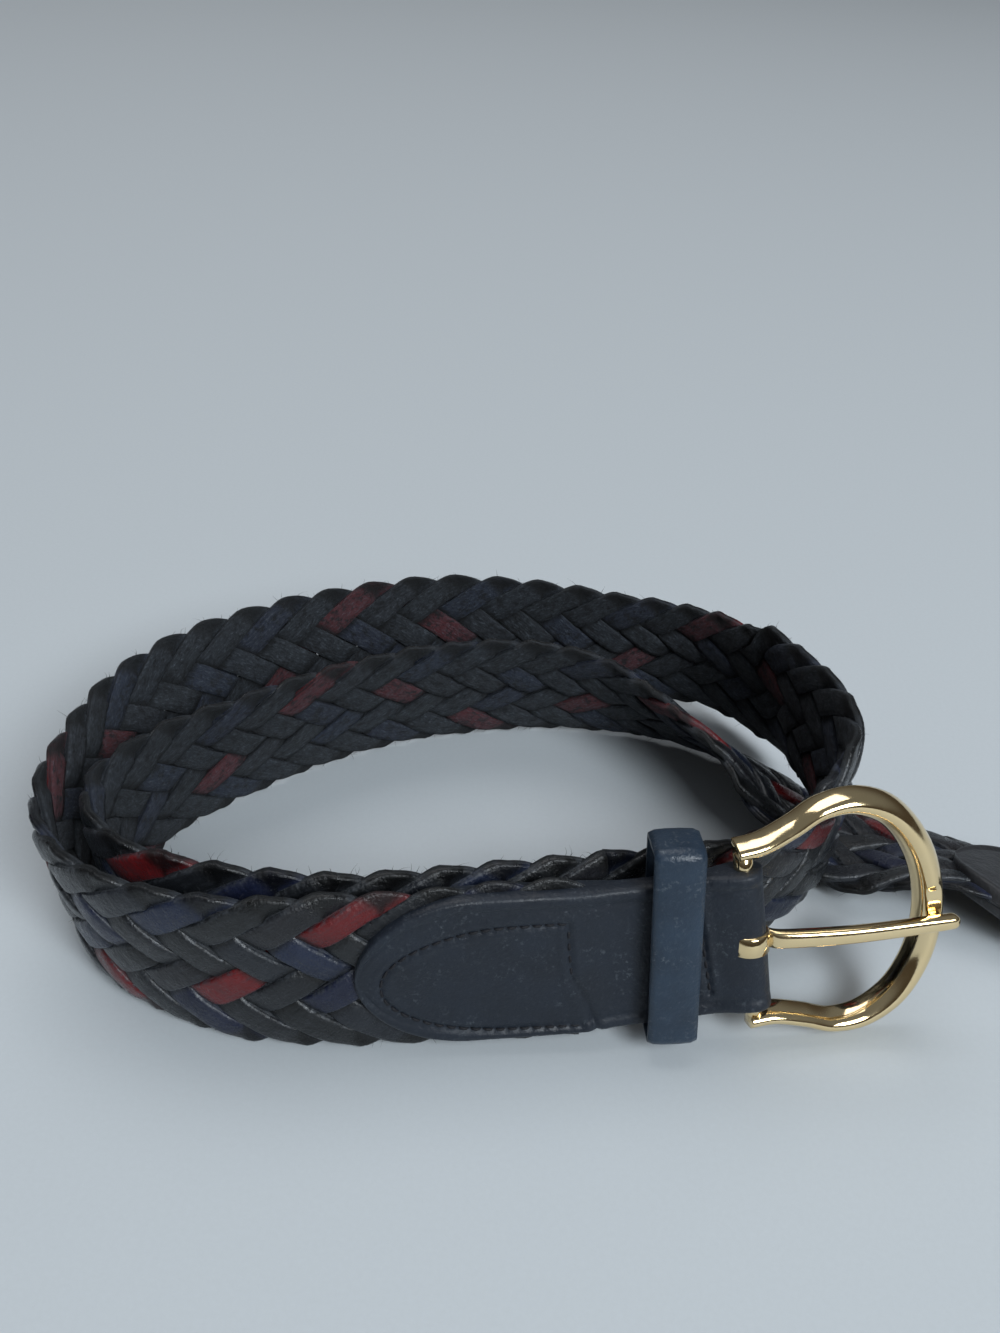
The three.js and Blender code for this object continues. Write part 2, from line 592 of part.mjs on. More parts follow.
function piece(name, geometry, finish) {
  geometry.computeVertexNormals();
  const mesh = new THREE.Mesh(geometry, new THREE.MeshStandardMaterial(finish));
  mesh.name = name;
  return mesh;
}

const belt = new THREE.Group();
belt.add(piece('braid_outer_turn', braidedTurn(BAND_START, TURN_JOIN - PIECE_GAP / 2), LEATHER));
belt.add(piece('braid_inner_turn', braidedTurn(TURN_JOIN + PIECE_GAP / 2, BAND_END), LEATHER));
belt.add(piece('buckle_tab', buckleTab(), LEATHER));
belt.add(piece('keeper_loop', keeperLoop(), LEATHER));
belt.add(piece('tip_tab', tipTab(), LEATHER));
belt.add(piece('buckle_frame', buckleFrame(), BRASS));
belt.add(piece('buckle_prong', buckleProng(), BRASS));

// The origin is under the middle of the whole belt.
const box = new THREE.Box3().setFromObject(belt);
const middle = box.getCenter(new THREE.Vector3());
belt.position.set(-middle.x, -middle.y, -box.min.z);
belt.updateMatrixWorld(true);

export default belt;
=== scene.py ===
import json
import math
import random

import bpy
import numpy as np
from mathutils import Matrix, Vector


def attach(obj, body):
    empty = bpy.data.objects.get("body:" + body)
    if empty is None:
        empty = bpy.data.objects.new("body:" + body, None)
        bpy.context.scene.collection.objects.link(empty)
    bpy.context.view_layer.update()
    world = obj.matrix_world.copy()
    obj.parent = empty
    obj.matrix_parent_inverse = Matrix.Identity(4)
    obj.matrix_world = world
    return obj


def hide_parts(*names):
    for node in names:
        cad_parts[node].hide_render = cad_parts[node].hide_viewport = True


# A braided leather belt standing on its edge, with its strands, stitches and brass buckle.
# Metres in the row frame. A place on the strap is s along it from the heel bar, b up across its
# width and n out of the loop, from the middle of its thickness.

MM = 0.001

# The solids' named sizes, repeated from the part's source
LOOP_WIDTH = 165 * MM
LOOP_DEPTH = 117 * MM
LAYER_GAP = 0.4 * MM
PIECE_GAP = 0.3 * MM
STANDING_CLEARANCE = 0.1 * MM
BAND_WIDTH = 37.8 * MM
BAND_THICKNESS = 4 * MM
BAND_END_THICKNESS = 2 * MM
BAND_TIP_WIDTH = 31 * MM
BAND_TIP_TAPER = 110 * MM
TAB_WIDTH = 33.6 * MM
TAB_FOLD_WIDTH = 30.4 * MM
TAB_FOLD_TAPER = 60 * MM
TAB_LENGTH = 74.4 * MM
TAB_WALL = 1.3 * MM
TAB_SEWN_THICKNESS = 3.8 * MM
TAB_END_ROUND = 22 * MM
TAB_BAND_OVERLAP = 42 * MM
FOLD_WALL = 1.3 * MM
FOLD_BLEND = 9 * MM
KEEPER_WIDTH = 9.4 * MM
KEEPER_HEIGHT = 43 * MM
KEEPER_DEPTH = 11 * MM
KEEPER_WALL = 1.8 * MM
KEEPER_CORNER = 2.4 * MM
KEEPER_DISTANCE = 14.8 * MM
KEEPER_TURN = math.radians(-7)
KEEPER_RAISE = 3.1 * MM
HEEL_BAR_RADIUS = 1.8 * MM
FRAME_LENGTH = 39.8 * MM
FRAME_HEIGHT = 53.4 * MM
FRAME_BAR_WIDTH = 5.8 * MM
FRAME_ARM_SHARE = 0.72
FRAME_BAR_THICKNESS = 4.6 * MM
BUCKLE_SWING = math.radians(-8)
NOTCH_DEPTH = 0.7 * MM
PRONG_WIDTH = 3.9 * MM
PRONG_THICKNESS = 2.8 * MM
PRONG_TIP_SHARE = 0.72
PRONG_OVERHANG = 1 * MM
PRONG_DROOP = math.radians(-4.6)
PRONG_SLIDE = -0.4 * MM
PRONG_EYE_PLAY = 0.6 * MM
PRONG_EYE_WALL = 1.6 * MM
PRONG_EYE_WIDTH = 4.4 * MM
TIP_TAB_LENGTH = 94 * MM
TIP_TAB_WIDTH = 30 * MM
TIP_END_ROUND = 15 * MM
TIP_BAND_OVERLAP = 26 * MM

LAYER_PITCH = BAND_THICKNESS + LAYER_GAP
CROSSING_LIFT = BAND_TIP_WIDTH * math.sin(math.radians(6)) + BAND_THICKNESS + LAYER_GAP
BUCKLE_LIFT = (FRAME_HEIGHT - BAND_WIDTH) / 2
POCKET_THICKNESS = BAND_END_THICKNESS + (PIECE_GAP + TAB_WALL) * 2
BAND_START = TAB_LENGTH - TAB_BAND_OVERLAP
RESTING = {
    "braid": (BAND_THICKNESS, STANDING_CLEARANCE),
    "pocket": (POCKET_THICKNESS, PIECE_GAP),
    "sewn": (TAB_SEWN_THICKNESS, 0.0),
}

ROUTE_SAMPLES = 4001

# The strap's way: x and y shares of the loop, inset in layers, lean in degrees, shares of the
# lifts at the buckle and at the crossing, and what the strap is made of there.
OUTER_TURN = [
    (0.328, -0.428, 0, -12.8, 0.7, 0, "braid"),
    (0.185, -0.448, 0, -9.5, 0.19, 0, "braid"),
    (0.03, -0.476, 0, -7, 0.05, 0, "braid"),
    (-0.118, -0.506, 0, -4, 0, 0, "braid"),
    (-0.258, -0.514, 0, 2, 0, 0, "braid"),
    (-0.388, -0.461, 0, 8, 0, 0, "braid"),
    (-0.469, -0.364, 0, 10, 0, 0, "braid"),
    (-0.497, -0.247, 0, 11, 0, 0, "braid"),
    (-0.494, -0.119, 0, 13, 0, 0, "braid"),
    (-0.467, 0.068, 0, 15, 0, 0, "braid"),
    (-0.394, 0.225, 0, 15, 0, 0, "braid"),
    (-0.284, 0.345, 0, 15, 0, 0, "braid"),
    (-0.158, 0.434, 0, 12, 0, 0, "braid"),
    (-0.018, 0.49, 0, 6, 0, 0, "braid"),
    (0.173, 0.498, 0, -8, 0, 0, "braid"),
    (0.325, 0.456, 0, -19, 0, 0.3, "braid"),
    (0.422, 0.315, 0, -15, 0, 0.55, "braid"),
    (0.448, 0.2, 0, -11, 0, 1.02, "braid"),
    (0.477, 0.038, 0, -4, 0, 1.28, "braid"),
    (0.474, -0.094, 0, 1, 0, 1.2, "braid"),
    (0.413, -0.214, 0, 5, 0, 0.6, "braid"),
    (0.312, -0.305, 0, 8, 0, 0.16, "braid"),
]
INNER_TURN = [
    (0.185, -0.448, 2.12, -2, 0, 0, "braid"),
    (0.03, -0.476, 1.42, -4, 0, 0, "braid"),
    (-0.118, -0.506, 1.25, -2, 0, 0, "braid"),
    (-0.258, -0.514, 1.7, 0, 0, 0, "braid"),
    (-0.388, -0.461, 1.9, 6, 0, 0, "braid"),
    (-0.469, -0.364, 1.95, 8, 0, 0, "braid"),
    (-0.497, -0.247, 2, 6, 0, 0, "braid"),
    (-0.494, -0.119, 2.4, -1, 0, 0, "braid"),
    (-0.397, -0.045, 0, -10, 0, 0, "braid"),
    (-0.335, 0.043, 0, -15, 0, 0, "braid"),
    (-0.251, 0.144, 0, -17, 0, 0, "braid"),
    (-0.156, 0.234, 0, -18, 0, 0, "braid"),
    (-0.05, 0.298, 0, -19, 0, 0, "braid"),
    (0.064, 0.332, 0, -21, 0, 0, "braid"),
    (0.179, 0.323, 0, -27, 0, 0, "braid"),
    (0.288, 0.261, 0, -40, 0, 0, "braid"),
    (0.377, 0.168, 0, -51, 0, 0, "braid"),
    (0.446, 0.074, 0, -69, 0, 0, "braid"),
    (0.53, 0.004, 0, -85, 0, 0, "braid"),
    (0.655, -0.071, 0, -71, 0, 0, "pocket"),
    (0.74, -0.127, 0, -75, 0, 0, "pocket"),
    (0.825, -0.183, 0, -84, 0, 0, "pocket"),
    (0.91, -0.239, 0, -89.5, 0, 0, "pocket"),
    (0.995, -0.295, 0, -90, 0, 0, "sewn"),
    (1.08, -0.351, 0, -90, 0, 0, "sewn"),
    (1.165, -0.407, 0, -90, 0, 0, "sewn"),
]

# Finer shape of the buckle. The frame's line gives shares of its length, of the arm's height and
# of the half height.
FRAME_LINE = [
    (-0.03, 1, 0),
    (0.11, 1.02, 0),
    (0.27, 0, 0.88),
    (0.43, 0, 0.99),
    (0.62, 0, 0.985),
    (0.81, 0, 0.81),
    (0.95, 0, 0.45),
    (1, 0, 0),
]
FRAME_STATIONS = 221
FRAME_ARC_POINTS = 28
FRAME_BACK_CORNERS = (1.06 * math.pi, 1.94 * math.pi)
FRAME_BACK_BULGE = 0.01
FRAME_BROADENING = (0.3, 0.8)
NOTCH_HALF_WIDTHS = (2.6 * MM, 3.6 * MM)
PRONG_RISE = (0.45, 0.9)
PRONG_END_SHARE = 0.93
PRONG_END_ROUND = 0.4
PRONG_END_FLAT = 0.02 * MM
PRONG_SQUARENESS = 0.7
PRONG_EYE_CHAMFER = 0.4 * MM

# Section of the keeper's wall: shares of its width, and of its thickness from the outside
KEEPER_SECTION = [
    (0, 0.35), (0.12, 0.08), (0.35, 0), (0.65, 0), (0.88, 0.08), (1, 0.35), (1, 0.9), (0, 0.9),
]
KEEPER_CORNER_STEPS = 8

# Braid
STRANDS = 9
EDGE_PITCH = 10.45 * MM
TURN_LENGTH = STRANDS * EDGE_PITCH
RED_AT_TOP = 69.3 * MM
INNER_RED_SHIFT = 2
STRAND_WIDTH = 6.15 * MM
STRAND_THICKNESS = 1.8 * MM
STRAND_LIFT = 0.98 * MM
STRAND_DOME = 0.16 * MM
STRAND_STEP = 0.85 * MM
EDGE_GROWTH = 0.1 * MM
EDGE_RAISE = 0.1 * MM
DIVE_LENGTH = 1.9 * MM
EDGE_ROLL_LENGTH = 4.2 * MM
LEVEL_STEP = 0.0005
SKEW_SOFTENING = 0.09
TURN_ROUNDNESS = 0.97
TURN_NARROWING = 0.14
TURN_SHARPNESS = 8
SEWN_LIFT_SHARE = 0.45
SEWN_THICKNESS_SHARE = 0.55
SEWN_FADE_INSIDE = 6 * MM
SEWN_FADE_OUTSIDE = 3 * MM

# Edge pitches at which a strand changes sides, and which of them is at the lower edge
ROW_BREAKS = [0, 1.25, 2.25, 3.25, 4.5, 5.75, 6.75, 7.75]
EDGE_ROW = 4

# Section of a strand: shares of its half width and half thickness
GRAIN_SIDE = [
    (-1, -0.35), (-0.985, 0.35), (-0.93, 0.8), (-0.78, 1), (-0.4, 1), (0, 1),
    (0.4, 1), (0.78, 1), (0.93, 0.8), (0.985, 0.35), (1, -0.35),
]
FLESH_SIDE = [(0.96, -0.95), (0.5, -1), (0, -1), (-0.5, -1), (-0.96, -0.95)]

# Unevenness of a strand: step along it and greatest size
WIDTH_WANDER = (9 * MM, 0.05)
NARROW_WANDER = (2.4 * MM, 0.04)
ROLL_WANDER = (8 * MM, 0.07)
PLACE_WANDER = (11 * MM, 0.25 * MM)
LIFT_WANDER = (7 * MM, 0.1 * MM)

# Loose fibres: the points of the section they grow from, how far they lean and curl, and the
# stations without them at the two ends of each braid
FIBRES_A_STRAND = 420
FIBRE_LENGTHS = (0.5 * MM, 1.6 * MM)
FIBRE_RADIUS = 0.055 * MM
FIBRE_CORNERS = [1, 9, 11, 15]
FIBRE_POINTS = 4
FIBRE_SIDES = 3
FIBRE_LAY = 0.8
FIBRE_TILT = 0.5
FIBRE_CURL = 0.9
FIBRE_TAPER = 0.7
OUTER_BARE_ENDS = (30, 30)
INNER_BARE_ENDS = (0, 40)

# Faces of the tabs: a rim along the edge with a groove inside it
TAB_RIM = 0.35 * MM
TIP_RIM = 0.3 * MM
RIM_PLACE = 1.5 * MM
RIM_SPREAD = 1.1 * MM
RIM_GROOVE_SHARE = 0.6
RIM_GROOVE_PLACE = 3.1 * MM
RIM_GROOVE_SPREAD = 0.6 * MM
RIM_FADE_WIDTH = 6 * MM
EDGE_ROUND = 0.7 * MM
EDGE_THICKNESS_SHARE = 0.45
EDGE_CROWDING = 1.6
TAB_POINTS_ACROSS = 72
TIP_POINTS_ACROSS = 26
TAB_STEP = 0.4 * MM
TIP_STEP = 0.8 * MM
TAB_END_STEPS = np.array([0.25, 0.12, 0.03]) * MM
TIP_END_STEPS = np.array([0.03, 0.12, 0.3, 0.55]) * MM
FOLD_STEPS = 12
FOLD_NOSE = 0.004
RELIEF_START = 4 * MM

# Seams on the buckle tab, as (s, b) points
SEAM_PLACE = 34.8 * MM
SEAM_RETURN = 32 * MM
SEAM_END = 69.8 * MM
SEAM_POINT = 24 * MM
SEAM_MIDDLE = -2.1 * MM
SEAM_HALF = 11.9 * MM
SEAM_SAMPLES = 90
CROSS_SEAM = [(34.8 * MM, 8.6 * MM), (34.5 * MM, 3 * MM), (34 * MM, -2.5 * MM)]
KEEPER_SEAM = [(9.3 * MM, 13 * MM), (8.9 * MM, 2 * MM), (8.5 * MM, -10 * MM)]
CREASE = [(33.8 * MM, -3.2 * MM), (31 * MM, -9 * MM), (29 * MM, -16.4 * MM)]
STITCH_PITCH = 2.35 * MM
STITCH_LENGTH = STITCH_PITCH * 0.8
STITCH_RADIUS = 0.3 * MM
STITCH_POINTS = 7
STITCH_SIDES = 8
STITCH_SUNK = 1.4
STITCH_ARCH = 1.1
STITCH_END_SHARE = 0.35

# Relief round a seam and a crease: height, distance from its line, and spread
SEAM_GROOVE = (-0.14 * MM, 0, 0.5 * MM)
SEAM_SWELL = (0.16 * MM, 1.3 * MM, 0.7 * MM)
STITCH_DIMPLE = (-0.34 * MM, 0, 0.6 * MM)
CREASE_GROOVE = (-0.5 * MM, 0, 0.45 * MM)
CREASE_SWELL = (0.15 * MM, 1.6 * MM, 0.8 * MM)
SEAM_LINE_STEP = 0.4 * MM
CREASE_LINE_STEP = 0.3 * MM

# Waves of the tab's face: height, then lengths along and across it
WAVE_HEIGHT = 0.06 * MM
WAVE_ALONG = 4.3 * MM
WAVE_BEND = 5 * MM
WAVE_ACROSS = 3.7 * MM
WAVE_FADE = (2 * MM, 8 * MM)

# Colours: the nine strands, what lies over them, and the other leathers and threads
STRAND_COLOURS = [
    (0.105, 0.007, 0.008),
    (0.009, 0.010, 0.012),
    (0.009, 0.012, 0.030),
    (0.010, 0.011, 0.013),
    (0.009, 0.010, 0.011),
    (0.011, 0.013, 0.017),
    (0.010, 0.015, 0.034),
    (0.010, 0.011, 0.012),
    (0.011, 0.011, 0.013),
]
STREAK_COLOUR = (0.030, 0.033, 0.040)
WORN_COLOUR = (0.045, 0.050, 0.058)
FLESH_COLOUR = (0.038, 0.047, 0.06)
FLESH_BRIGHTENING = (1.25, 1.25, 1.25)
FLESH_DARK = (0.004, 0.004, 0.005)
FLESH_FIBRES = (0.15, 0.175, 0.21)
# Painted shade for the gaps where a strand dives under its neighbours
PAINTED_GAP_SHADE = (0.002, 0.002, 0.002)
SCUFF_COLOUR = (0.13, 0.15, 0.17)
TAB_COLOUR = (0.008, 0.012, 0.020)
# The keeper's dark leather, with a painted blue-grey sheen of cool daylight in its colour
KEEPER_DYE_AND_PAINTED_SHEEN = (0.017, 0.031, 0.052)
# The tip tab's dark leather, painted lighter grey for the light on its upward face
TIP_DYE_AND_PAINTED_LIGHT = (0.022, 0.022, 0.024)
FIBRE_COLOUR = (0.022, 0.024, 0.028)
THREAD_COLOUR = (0.003, 0.003, 0.006)
BRASS_COLOURS = ((0.87, 0.66, 0.35), (0.93, 0.75, 0.46))
FLOOR_COLOURS = ((0.50, 0.53, 0.55), (0.54, 0.575, 0.60))

# The braid's leather is laid out along each strand in centimetres, another stretch for each
GRAIN_RUN = 100
GRAIN_CROSS = 0.3
GRAIN_SHIFT = 170.0

# Studio: the floor, the sky's colours and heights, and each light's name, place, size, watts and
# colour
FLOOR_HALF = 40
WORLD_STRENGTH = 0.19
WORLD_LOW = (0.30, 0.26, 0.22, 1)
WORLD_HIGH = (0.80, 0.86, 0.92, 1)
WORLD_FADE = (0.15, 0.75)
BACKDROP_COLOUR = (2.1, 2.35, 2.5, 1)
LIGHT_TARGET = (-0.02, 0, 0)
LIGHTS = [
    ("window", (1.2, -2.1, 2.1), (1.5, 1.5), 82, (0.86, 0.94, 1.0)),
    ("ceiling", (-0.6, 1.0, 3.2), (2.4, 2.4), 40, (0.97, 0.98, 1.0)),
    ("glint", (0.5, -0.75, 0.7), (0.2, 0.2), 1.8, (0.93, 0.97, 1.0)),
]

CAMERA_PLACE = (-0.04849, -0.22867, 0.2003)
CAMERA_PITCH = math.radians(33.4)
CAMERA_ROLL = math.radians(3.08)
CAMERA_FOCAL_PIXELS = 1300
PICTURE_HEIGHT = 1333
SENSOR = 36


def smooth(value, start, end):
    x = np.clip((value - start) / (end - start), 0, 1)
    return x * x * (3 - 2 * x)


def mix(a, b, share):
    return a + (b - a) * share


class StrapRoute:
    """The strap's way as one smooth curve, measured from the heel bar."""

    def __init__(self, rows, heel):
        plan = np.array([[r[0] * LOOP_WIDTH, r[1] * LOOP_DEPTH] for r in rows])
        centres = []
        for i, (_, _, inset, lean, at_heel, at_cross, kind) in enumerate(rows):
            before = plan[max(i - 1, 0)]
            after = plan[min(i + 1, len(rows) - 1)]
            along = (after - before) / np.linalg.norm(after - before)
            inward = np.array([along[1], -along[0]])
            x, y = plan[i] + inward * inset * LAYER_PITCH
            thickness, lift = RESTING[kind]
            tilt = math.radians(lean)
            rest = (BAND_WIDTH * math.cos(tilt) + thickness * abs(math.sin(tilt))) / 2
            centres.append((x, y, lift + rest + at_heel * BUCKLE_LIFT + at_cross * CROSSING_LIFT))
        self.centres = np.array(centres)
        self.leans = np.radians([r[3] for r in rows])[:, None]
        self.centres += np.array(heel) - self.centres[0]
        self.shares = np.linspace(0, 1, ROUTE_SAMPLES)
        places, _ = self.curve(self.centres, self.shares)
        steps = np.linalg.norm(np.diff(places, axis=0), axis=1)
        self.lengths = np.concatenate([[0], np.cumsum(steps)])
        self.length = self.lengths[-1]

    @staticmethod
    def curve(points, shares):
        last = len(points) - 1
        x = np.clip(shares, 0, 1) * last
        i = np.minimum(x.astype(int), last - 1)
        w = (x - i)[:, None]
        padded = np.vstack([2 * points[0] - points[1], points, 2 * points[last] - points[last - 1]])
        p0, p1, p2, p3 = padded[i], padded[i + 1], padded[i + 2], padded[i + 3]
        t1 = (p2 - p0) / 2
        t2 = (p3 - p1) / 2
        c2 = -3 * p1 + 3 * p2 - 2 * t1 - t2
        c3 = 2 * p1 - 2 * p2 + t1 + t2
        return p1 + t1 * w + c2 * w**2 + c3 * w**3, t1 + 2 * c2 * w + 3 * c3 * w**2

    def frame(self, s):
        """Places and directions at distances s: along, up across the width, and out of the loop."""
        s = np.atleast_1d(np.asarray(s, float))
        inside = np.clip(s, 0, self.length)
        shares = np.interp(inside, self.lengths, self.shares)
        place, along = self.curve(self.centres, shares)
        along /= np.linalg.norm(along, axis=1)[:, None]
        lean = self.curve(self.leans, shares)[0]
        level = np.stack([-along[:, 1], along[:, 0], np.zeros(len(s))], axis=1)
        level /= np.linalg.norm(level, axis=1)[:, None]
        upright = np.array([0.0, 0.0, 1.0]) - along * along[:, 2:3]
        upright /= np.linalg.norm(upright, axis=1)[:, None]
        up = upright * np.cos(lean) + level * np.sin(lean)
        out = np.cross(up, along)
        out /= np.linalg.norm(out, axis=1)[:, None]
        return place + along * (s - inside)[:, None], along, up, out

    def point(self, s, b, n):
        """Points at arrays of s, b and n of one shape."""
        s, b, n = np.broadcast_arrays(s, b, n)
        place, _, up, out = self.frame(s.ravel())
        return (place + up * b.reshape(-1, 1) + out * n.reshape(-1, 1)).reshape(*s.shape, 3)


def new_object(name, points, faces, material, smooth_faces=True):
    mesh = bpy.data.meshes.new(name)
    mesh.from_pydata([tuple(p) for p in points], [], faces)
    mesh.validate()
    if smooth_faces:
        mesh.polygons.foreach_set("use_smooth", [True] * len(mesh.polygons))
    obj = bpy.data.objects.new(name, mesh)
    bpy.context.scene.collection.objects.link(obj)
    obj.data.materials.append(material)
    return obj


class MeshParts:
    """Gathers tubes of points, with values at each point, into one mesh."""

    def __init__(self):
        self.points = []
        self.faces = []
        self.values = {}
        self.count = 0

    def add_tube(self, rings, **values):
        """rings has the shape (stations, sides, 3). Each value has the shape (stations, sides)."""
        stations, sides = rings.shape[:2]
        base = self.count
        self.points.append(rings.reshape(-1, 3))
        i = np.arange(stations - 1)[:, None] * sides
        j = np.arange(sides)[None, :]
        k = (j + 1) % sides
        quads = np.stack([i + j, i + k, i + sides + k, i + sides + j], axis=-1).reshape(-1, 4)
        self.faces.extend((quads + base).tolist())
        end = base + (stations - 1) * sides
        self.faces.append(list(range(base, base + sides))[::-1])
        self.faces.append(list(range(end, end + sides)))
        for name, value in values.items():
            spread = np.broadcast_to(value, (stations, sides)).reshape(-1)
            self.values.setdefault(name, []).append(spread)
        self.count += stations * sides

    def build(self, name, material):
        obj = new_object(name, np.concatenate(self.points), self.faces, material)
        for key, parts in self.values.items():
            layer = obj.data.attributes.new(key, "FLOAT", "POINT")
            layer.data.foreach_set("value", np.concatenate(parts).astype(np.float32))
        return obj


def band_width(s):
    return mix(BAND_WIDTH, BAND_TIP_WIDTH, smooth(s, TIP_START - BAND_TIP_TAPER, TIP_START))


def free_share(s):
    """1 where the braid is free, 0 where it is sewn flat into a tab."""
    start = smooth(s, TAB_LENGTH - SEWN_FADE_INSIDE, TAB_LENGTH + SEWN_FADE_OUTSIDE)
    end = 1 - smooth(s, TIP_START - SEWN_FADE_OUTSIDE, TIP_START + SEWN_FADE_INSIDE)
    return np.minimum(start, end)


def strand_level(turns):
    """1 where a strand lies on the outside of the braid, -1 on the inside. turns is in strand turns."""
    pitches = turns * STRANDS % STRANDS
    breaks = np.array(ROW_BREAKS + [STRANDS])
    row = np.searchsorted(breaks, pitches, side="right") - 1
    row = np.clip(row, 0, len(ROW_BREAKS) - 1)
    rolls = np.isin(np.arange(len(breaks)), [0, EDGE_ROW, len(ROW_BREAKS)])
    lengths = np.where(rolls, EDGE_ROLL_LENGTH, DIVE_LENGTH)
    after = (pitches - breaks[row]) * EDGE_PITCH / lengths[row]
    before = (breaks[row + 1] - pitches) * EDGE_PITCH / lengths[row + 1]
    return np.where(row % 2 == 0, 1, -1) * np.tanh(np.minimum(after, before))


def strand_profile():
    """Section of a strand: shares of its half width and half thickness, and 1 on the grain side."""
    section = np.array(GRAIN_SIDE + FLESH_SIDE)
    side = np.array([0.5] + [1.0] * (len(GRAIN_SIDE) - 2) + [0.5] + [0.0] * len(FLESH_SIDE))
    return section[:, 0], section[:, 1], side


def wander(rng, s, step, size):
    """A smooth random line along s."""
    knots = np.arange(0, ROUTE.length + 2 * step, step)
    return np.interp(s, knots, [rng.uniform(-size, size) for _ in knots])


def strand_line(turns, reach):
    """A strand's height across the band, and its slope against the strap."""
    angle = 2 * math.pi * turns
    scale = math.asin(TURN_ROUNDNESS)
    swing = TURN_ROUNDNESS * np.cos(angle)
    slope = -reach * TURN_ROUNDNESS * np.sin(angle) * 2 * math.pi / TURN_LENGTH
    slope /= scale * np.sqrt(1 - swing**2)
    return reach * np.arcsin(swing) / scale, slope


def strand_tube(strand, start, end, shift, rng):
    """Rings of points round one strand, and the values that its leather needs at each point."""
    s = np.arange(start, end + STRAND_STEP / 2, STRAND_STEP)
    s[-1] = end
    turns = (s - RED_AT_TOP) / TURN_LENGTH + (strand - shift) / STRANDS
    across, through, side = strand_profile()
    width = band_width(s) / BAND_WIDTH
    free = free_share(s)
    b, slope = strand_line(turns, ((BAND_WIDTH - STRAND_WIDTH) / 2 + EDGE_GROWTH * free) * width)
    norm = np.sqrt(1 + slope**2)
    turning = np.abs(np.cos(2 * math.pi * turns)) ** TURN_SHARPNESS
    half = STRAND_WIDTH / 2 * width * (1 - TURN_NARROWING * turning)
    half = half * (1 + wander(rng, s, *WIDTH_WANDER) + wander(rng, s, *NARROW_WANDER) * free)
    roll = wander(rng, s, *ROLL_WANDER)
    b = b + (wander(rng, s, *PLACE_WANDER) + EDGE_RAISE) * free
    v = half[:, None] * across[None, :]
    skewing = slope * (1 - slope**2) / (2 * (slope**2 + SKEW_SOFTENING))
    skew = -v * skewing[:, None] / norm[:, None]
    turn_here = turns[:, None] - skew / TURN_LENGTH
    level = strand_level(turn_here)
    ahead = strand_level(turn_here + LEVEL_STEP)
    lift = STRAND_LIFT + wander(rng, s, *LIFT_WANDER)
    depth = (lift * mix(SEWN_LIFT_SHARE, 1, free))[:, None]
    rise = (ahead - level) * depth / (LEVEL_STEP * TURN_LENGTH)
    half_thick = STRAND_THICKNESS / 2 * mix(SEWN_THICKNESS_SHARE, 1, free)
    dome = STRAND_DOME * (1 - across**2) * (through > 0.9)
    t = half_thick[:, None] * through[None, :] + dome[None, :]
    stretch = np.sqrt(1 + rise**2)
    s_at = s[:, None] - v * (slope / norm)[:, None] - t * rise / stretch
    b_at = b[:, None] + v / norm[:, None]
    n_at = level * depth + t / stretch + v * roll[:, None]
    rings = ROUTE.point(s_at, b_at, n_at)
    rings[..., 2] = np.maximum(rings[..., 2], STANDING_CLEARANCE / 2)
    return rings, {
        "strand": strand / STRANDS,
        "grain": side,
        "edge": np.abs(across),
        # How far the strand has dived under its neighbours; the leather gets painted shade there
        "sunk": 1 - np.abs(level),
        "run": (s * norm.mean() * GRAIN_RUN)[:, None],
        "cross": across * GRAIN_CROSS,
    }


def fibre_tubes(parts, rings, rng):
    """Short loose fibres along the edges of one strand. None reaches the floor."""
    bend = np.linspace(0, 1, FIBRE_POINTS)
    turn = round_angles(FIBRE_SIDES)
    for _ in range(FIBRES_A_STRAND):
        i = rng.randrange(2, len(rings) - 2)
        root = rings[i, rng.choice(FIBRE_CORNERS)]
        away = root - rings[i].mean(axis=0)
        away /= np.linalg.norm(away)
        lay = rings[i + 1].mean(axis=0) - rings[i].mean(axis=0)
        lay /= np.linalg.norm(lay)
        side = np.cross(away, lay)
        start = away + lay * rng.uniform(-FIBRE_LAY, FIBRE_LAY)
        start = start + side * rng.uniform(-FIBRE_TILT, FIBRE_TILT)
        curl = lay * rng.uniform(-FIBRE_CURL, FIBRE_CURL) + side * rng.uniform(-FIBRE_CURL, FIBRE_CURL)
        length = rng.uniform(*FIBRE_LENGTHS)
        line = root + length * (start * bend[:, None] + curl * bend[:, None] ** 2)
        if line[:, 2].min() < FIBRE_RADIUS * 2:
            continue
        radius = FIBRE_RADIUS * (1 - FIBRE_TAPER * bend)
        circle = side * np.cos(turn)[:, None] + lay * np.sin(turn)[:, None]
        parts.add_tube(line[:, None, :] + radius[:, None, None] * circle[None, :, :])


def braid(name, start, end, shift, bare_ends, node):
    """One turn of the braid, and its loose fibres as a piece of their own."""
    parts = MeshParts()
    fuzz = MeshParts()
    rng = random.Random(name)
    for strand in range(STRANDS):
        rings, values = strand_tube(strand, start, end, shift, rng)
        parts.add_tube(rings, **values)
        fibre_tubes(fuzz, rings[bare_ends[0] : len(rings) - bare_ends[1]], rng)
    obj = parts.build(name, BRAID_LEATHER)
    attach(obj, "strap")
    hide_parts(node)
    loose = fuzz.build(name + "_fibres", FIBRE)
    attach(loose, "strap")


def round_angles(count):
    """Angles spread evenly round a circle."""
    return np.linspace(0, 2 * math.pi, count + 1)[:-1]


def rounded_end(half, inside, length):
    reach = np.clip(inside / length, 0, 1)
    return half * np.sqrt(np.maximum(1 - (1 - reach) ** 2, 0))


def ridge(distance, height, place, spread):
    """A soft ridge that lies at a distance from a line. A height below 0 makes a groove."""
    return height * np.exp(-(((distance - place) / spread) ** 2))


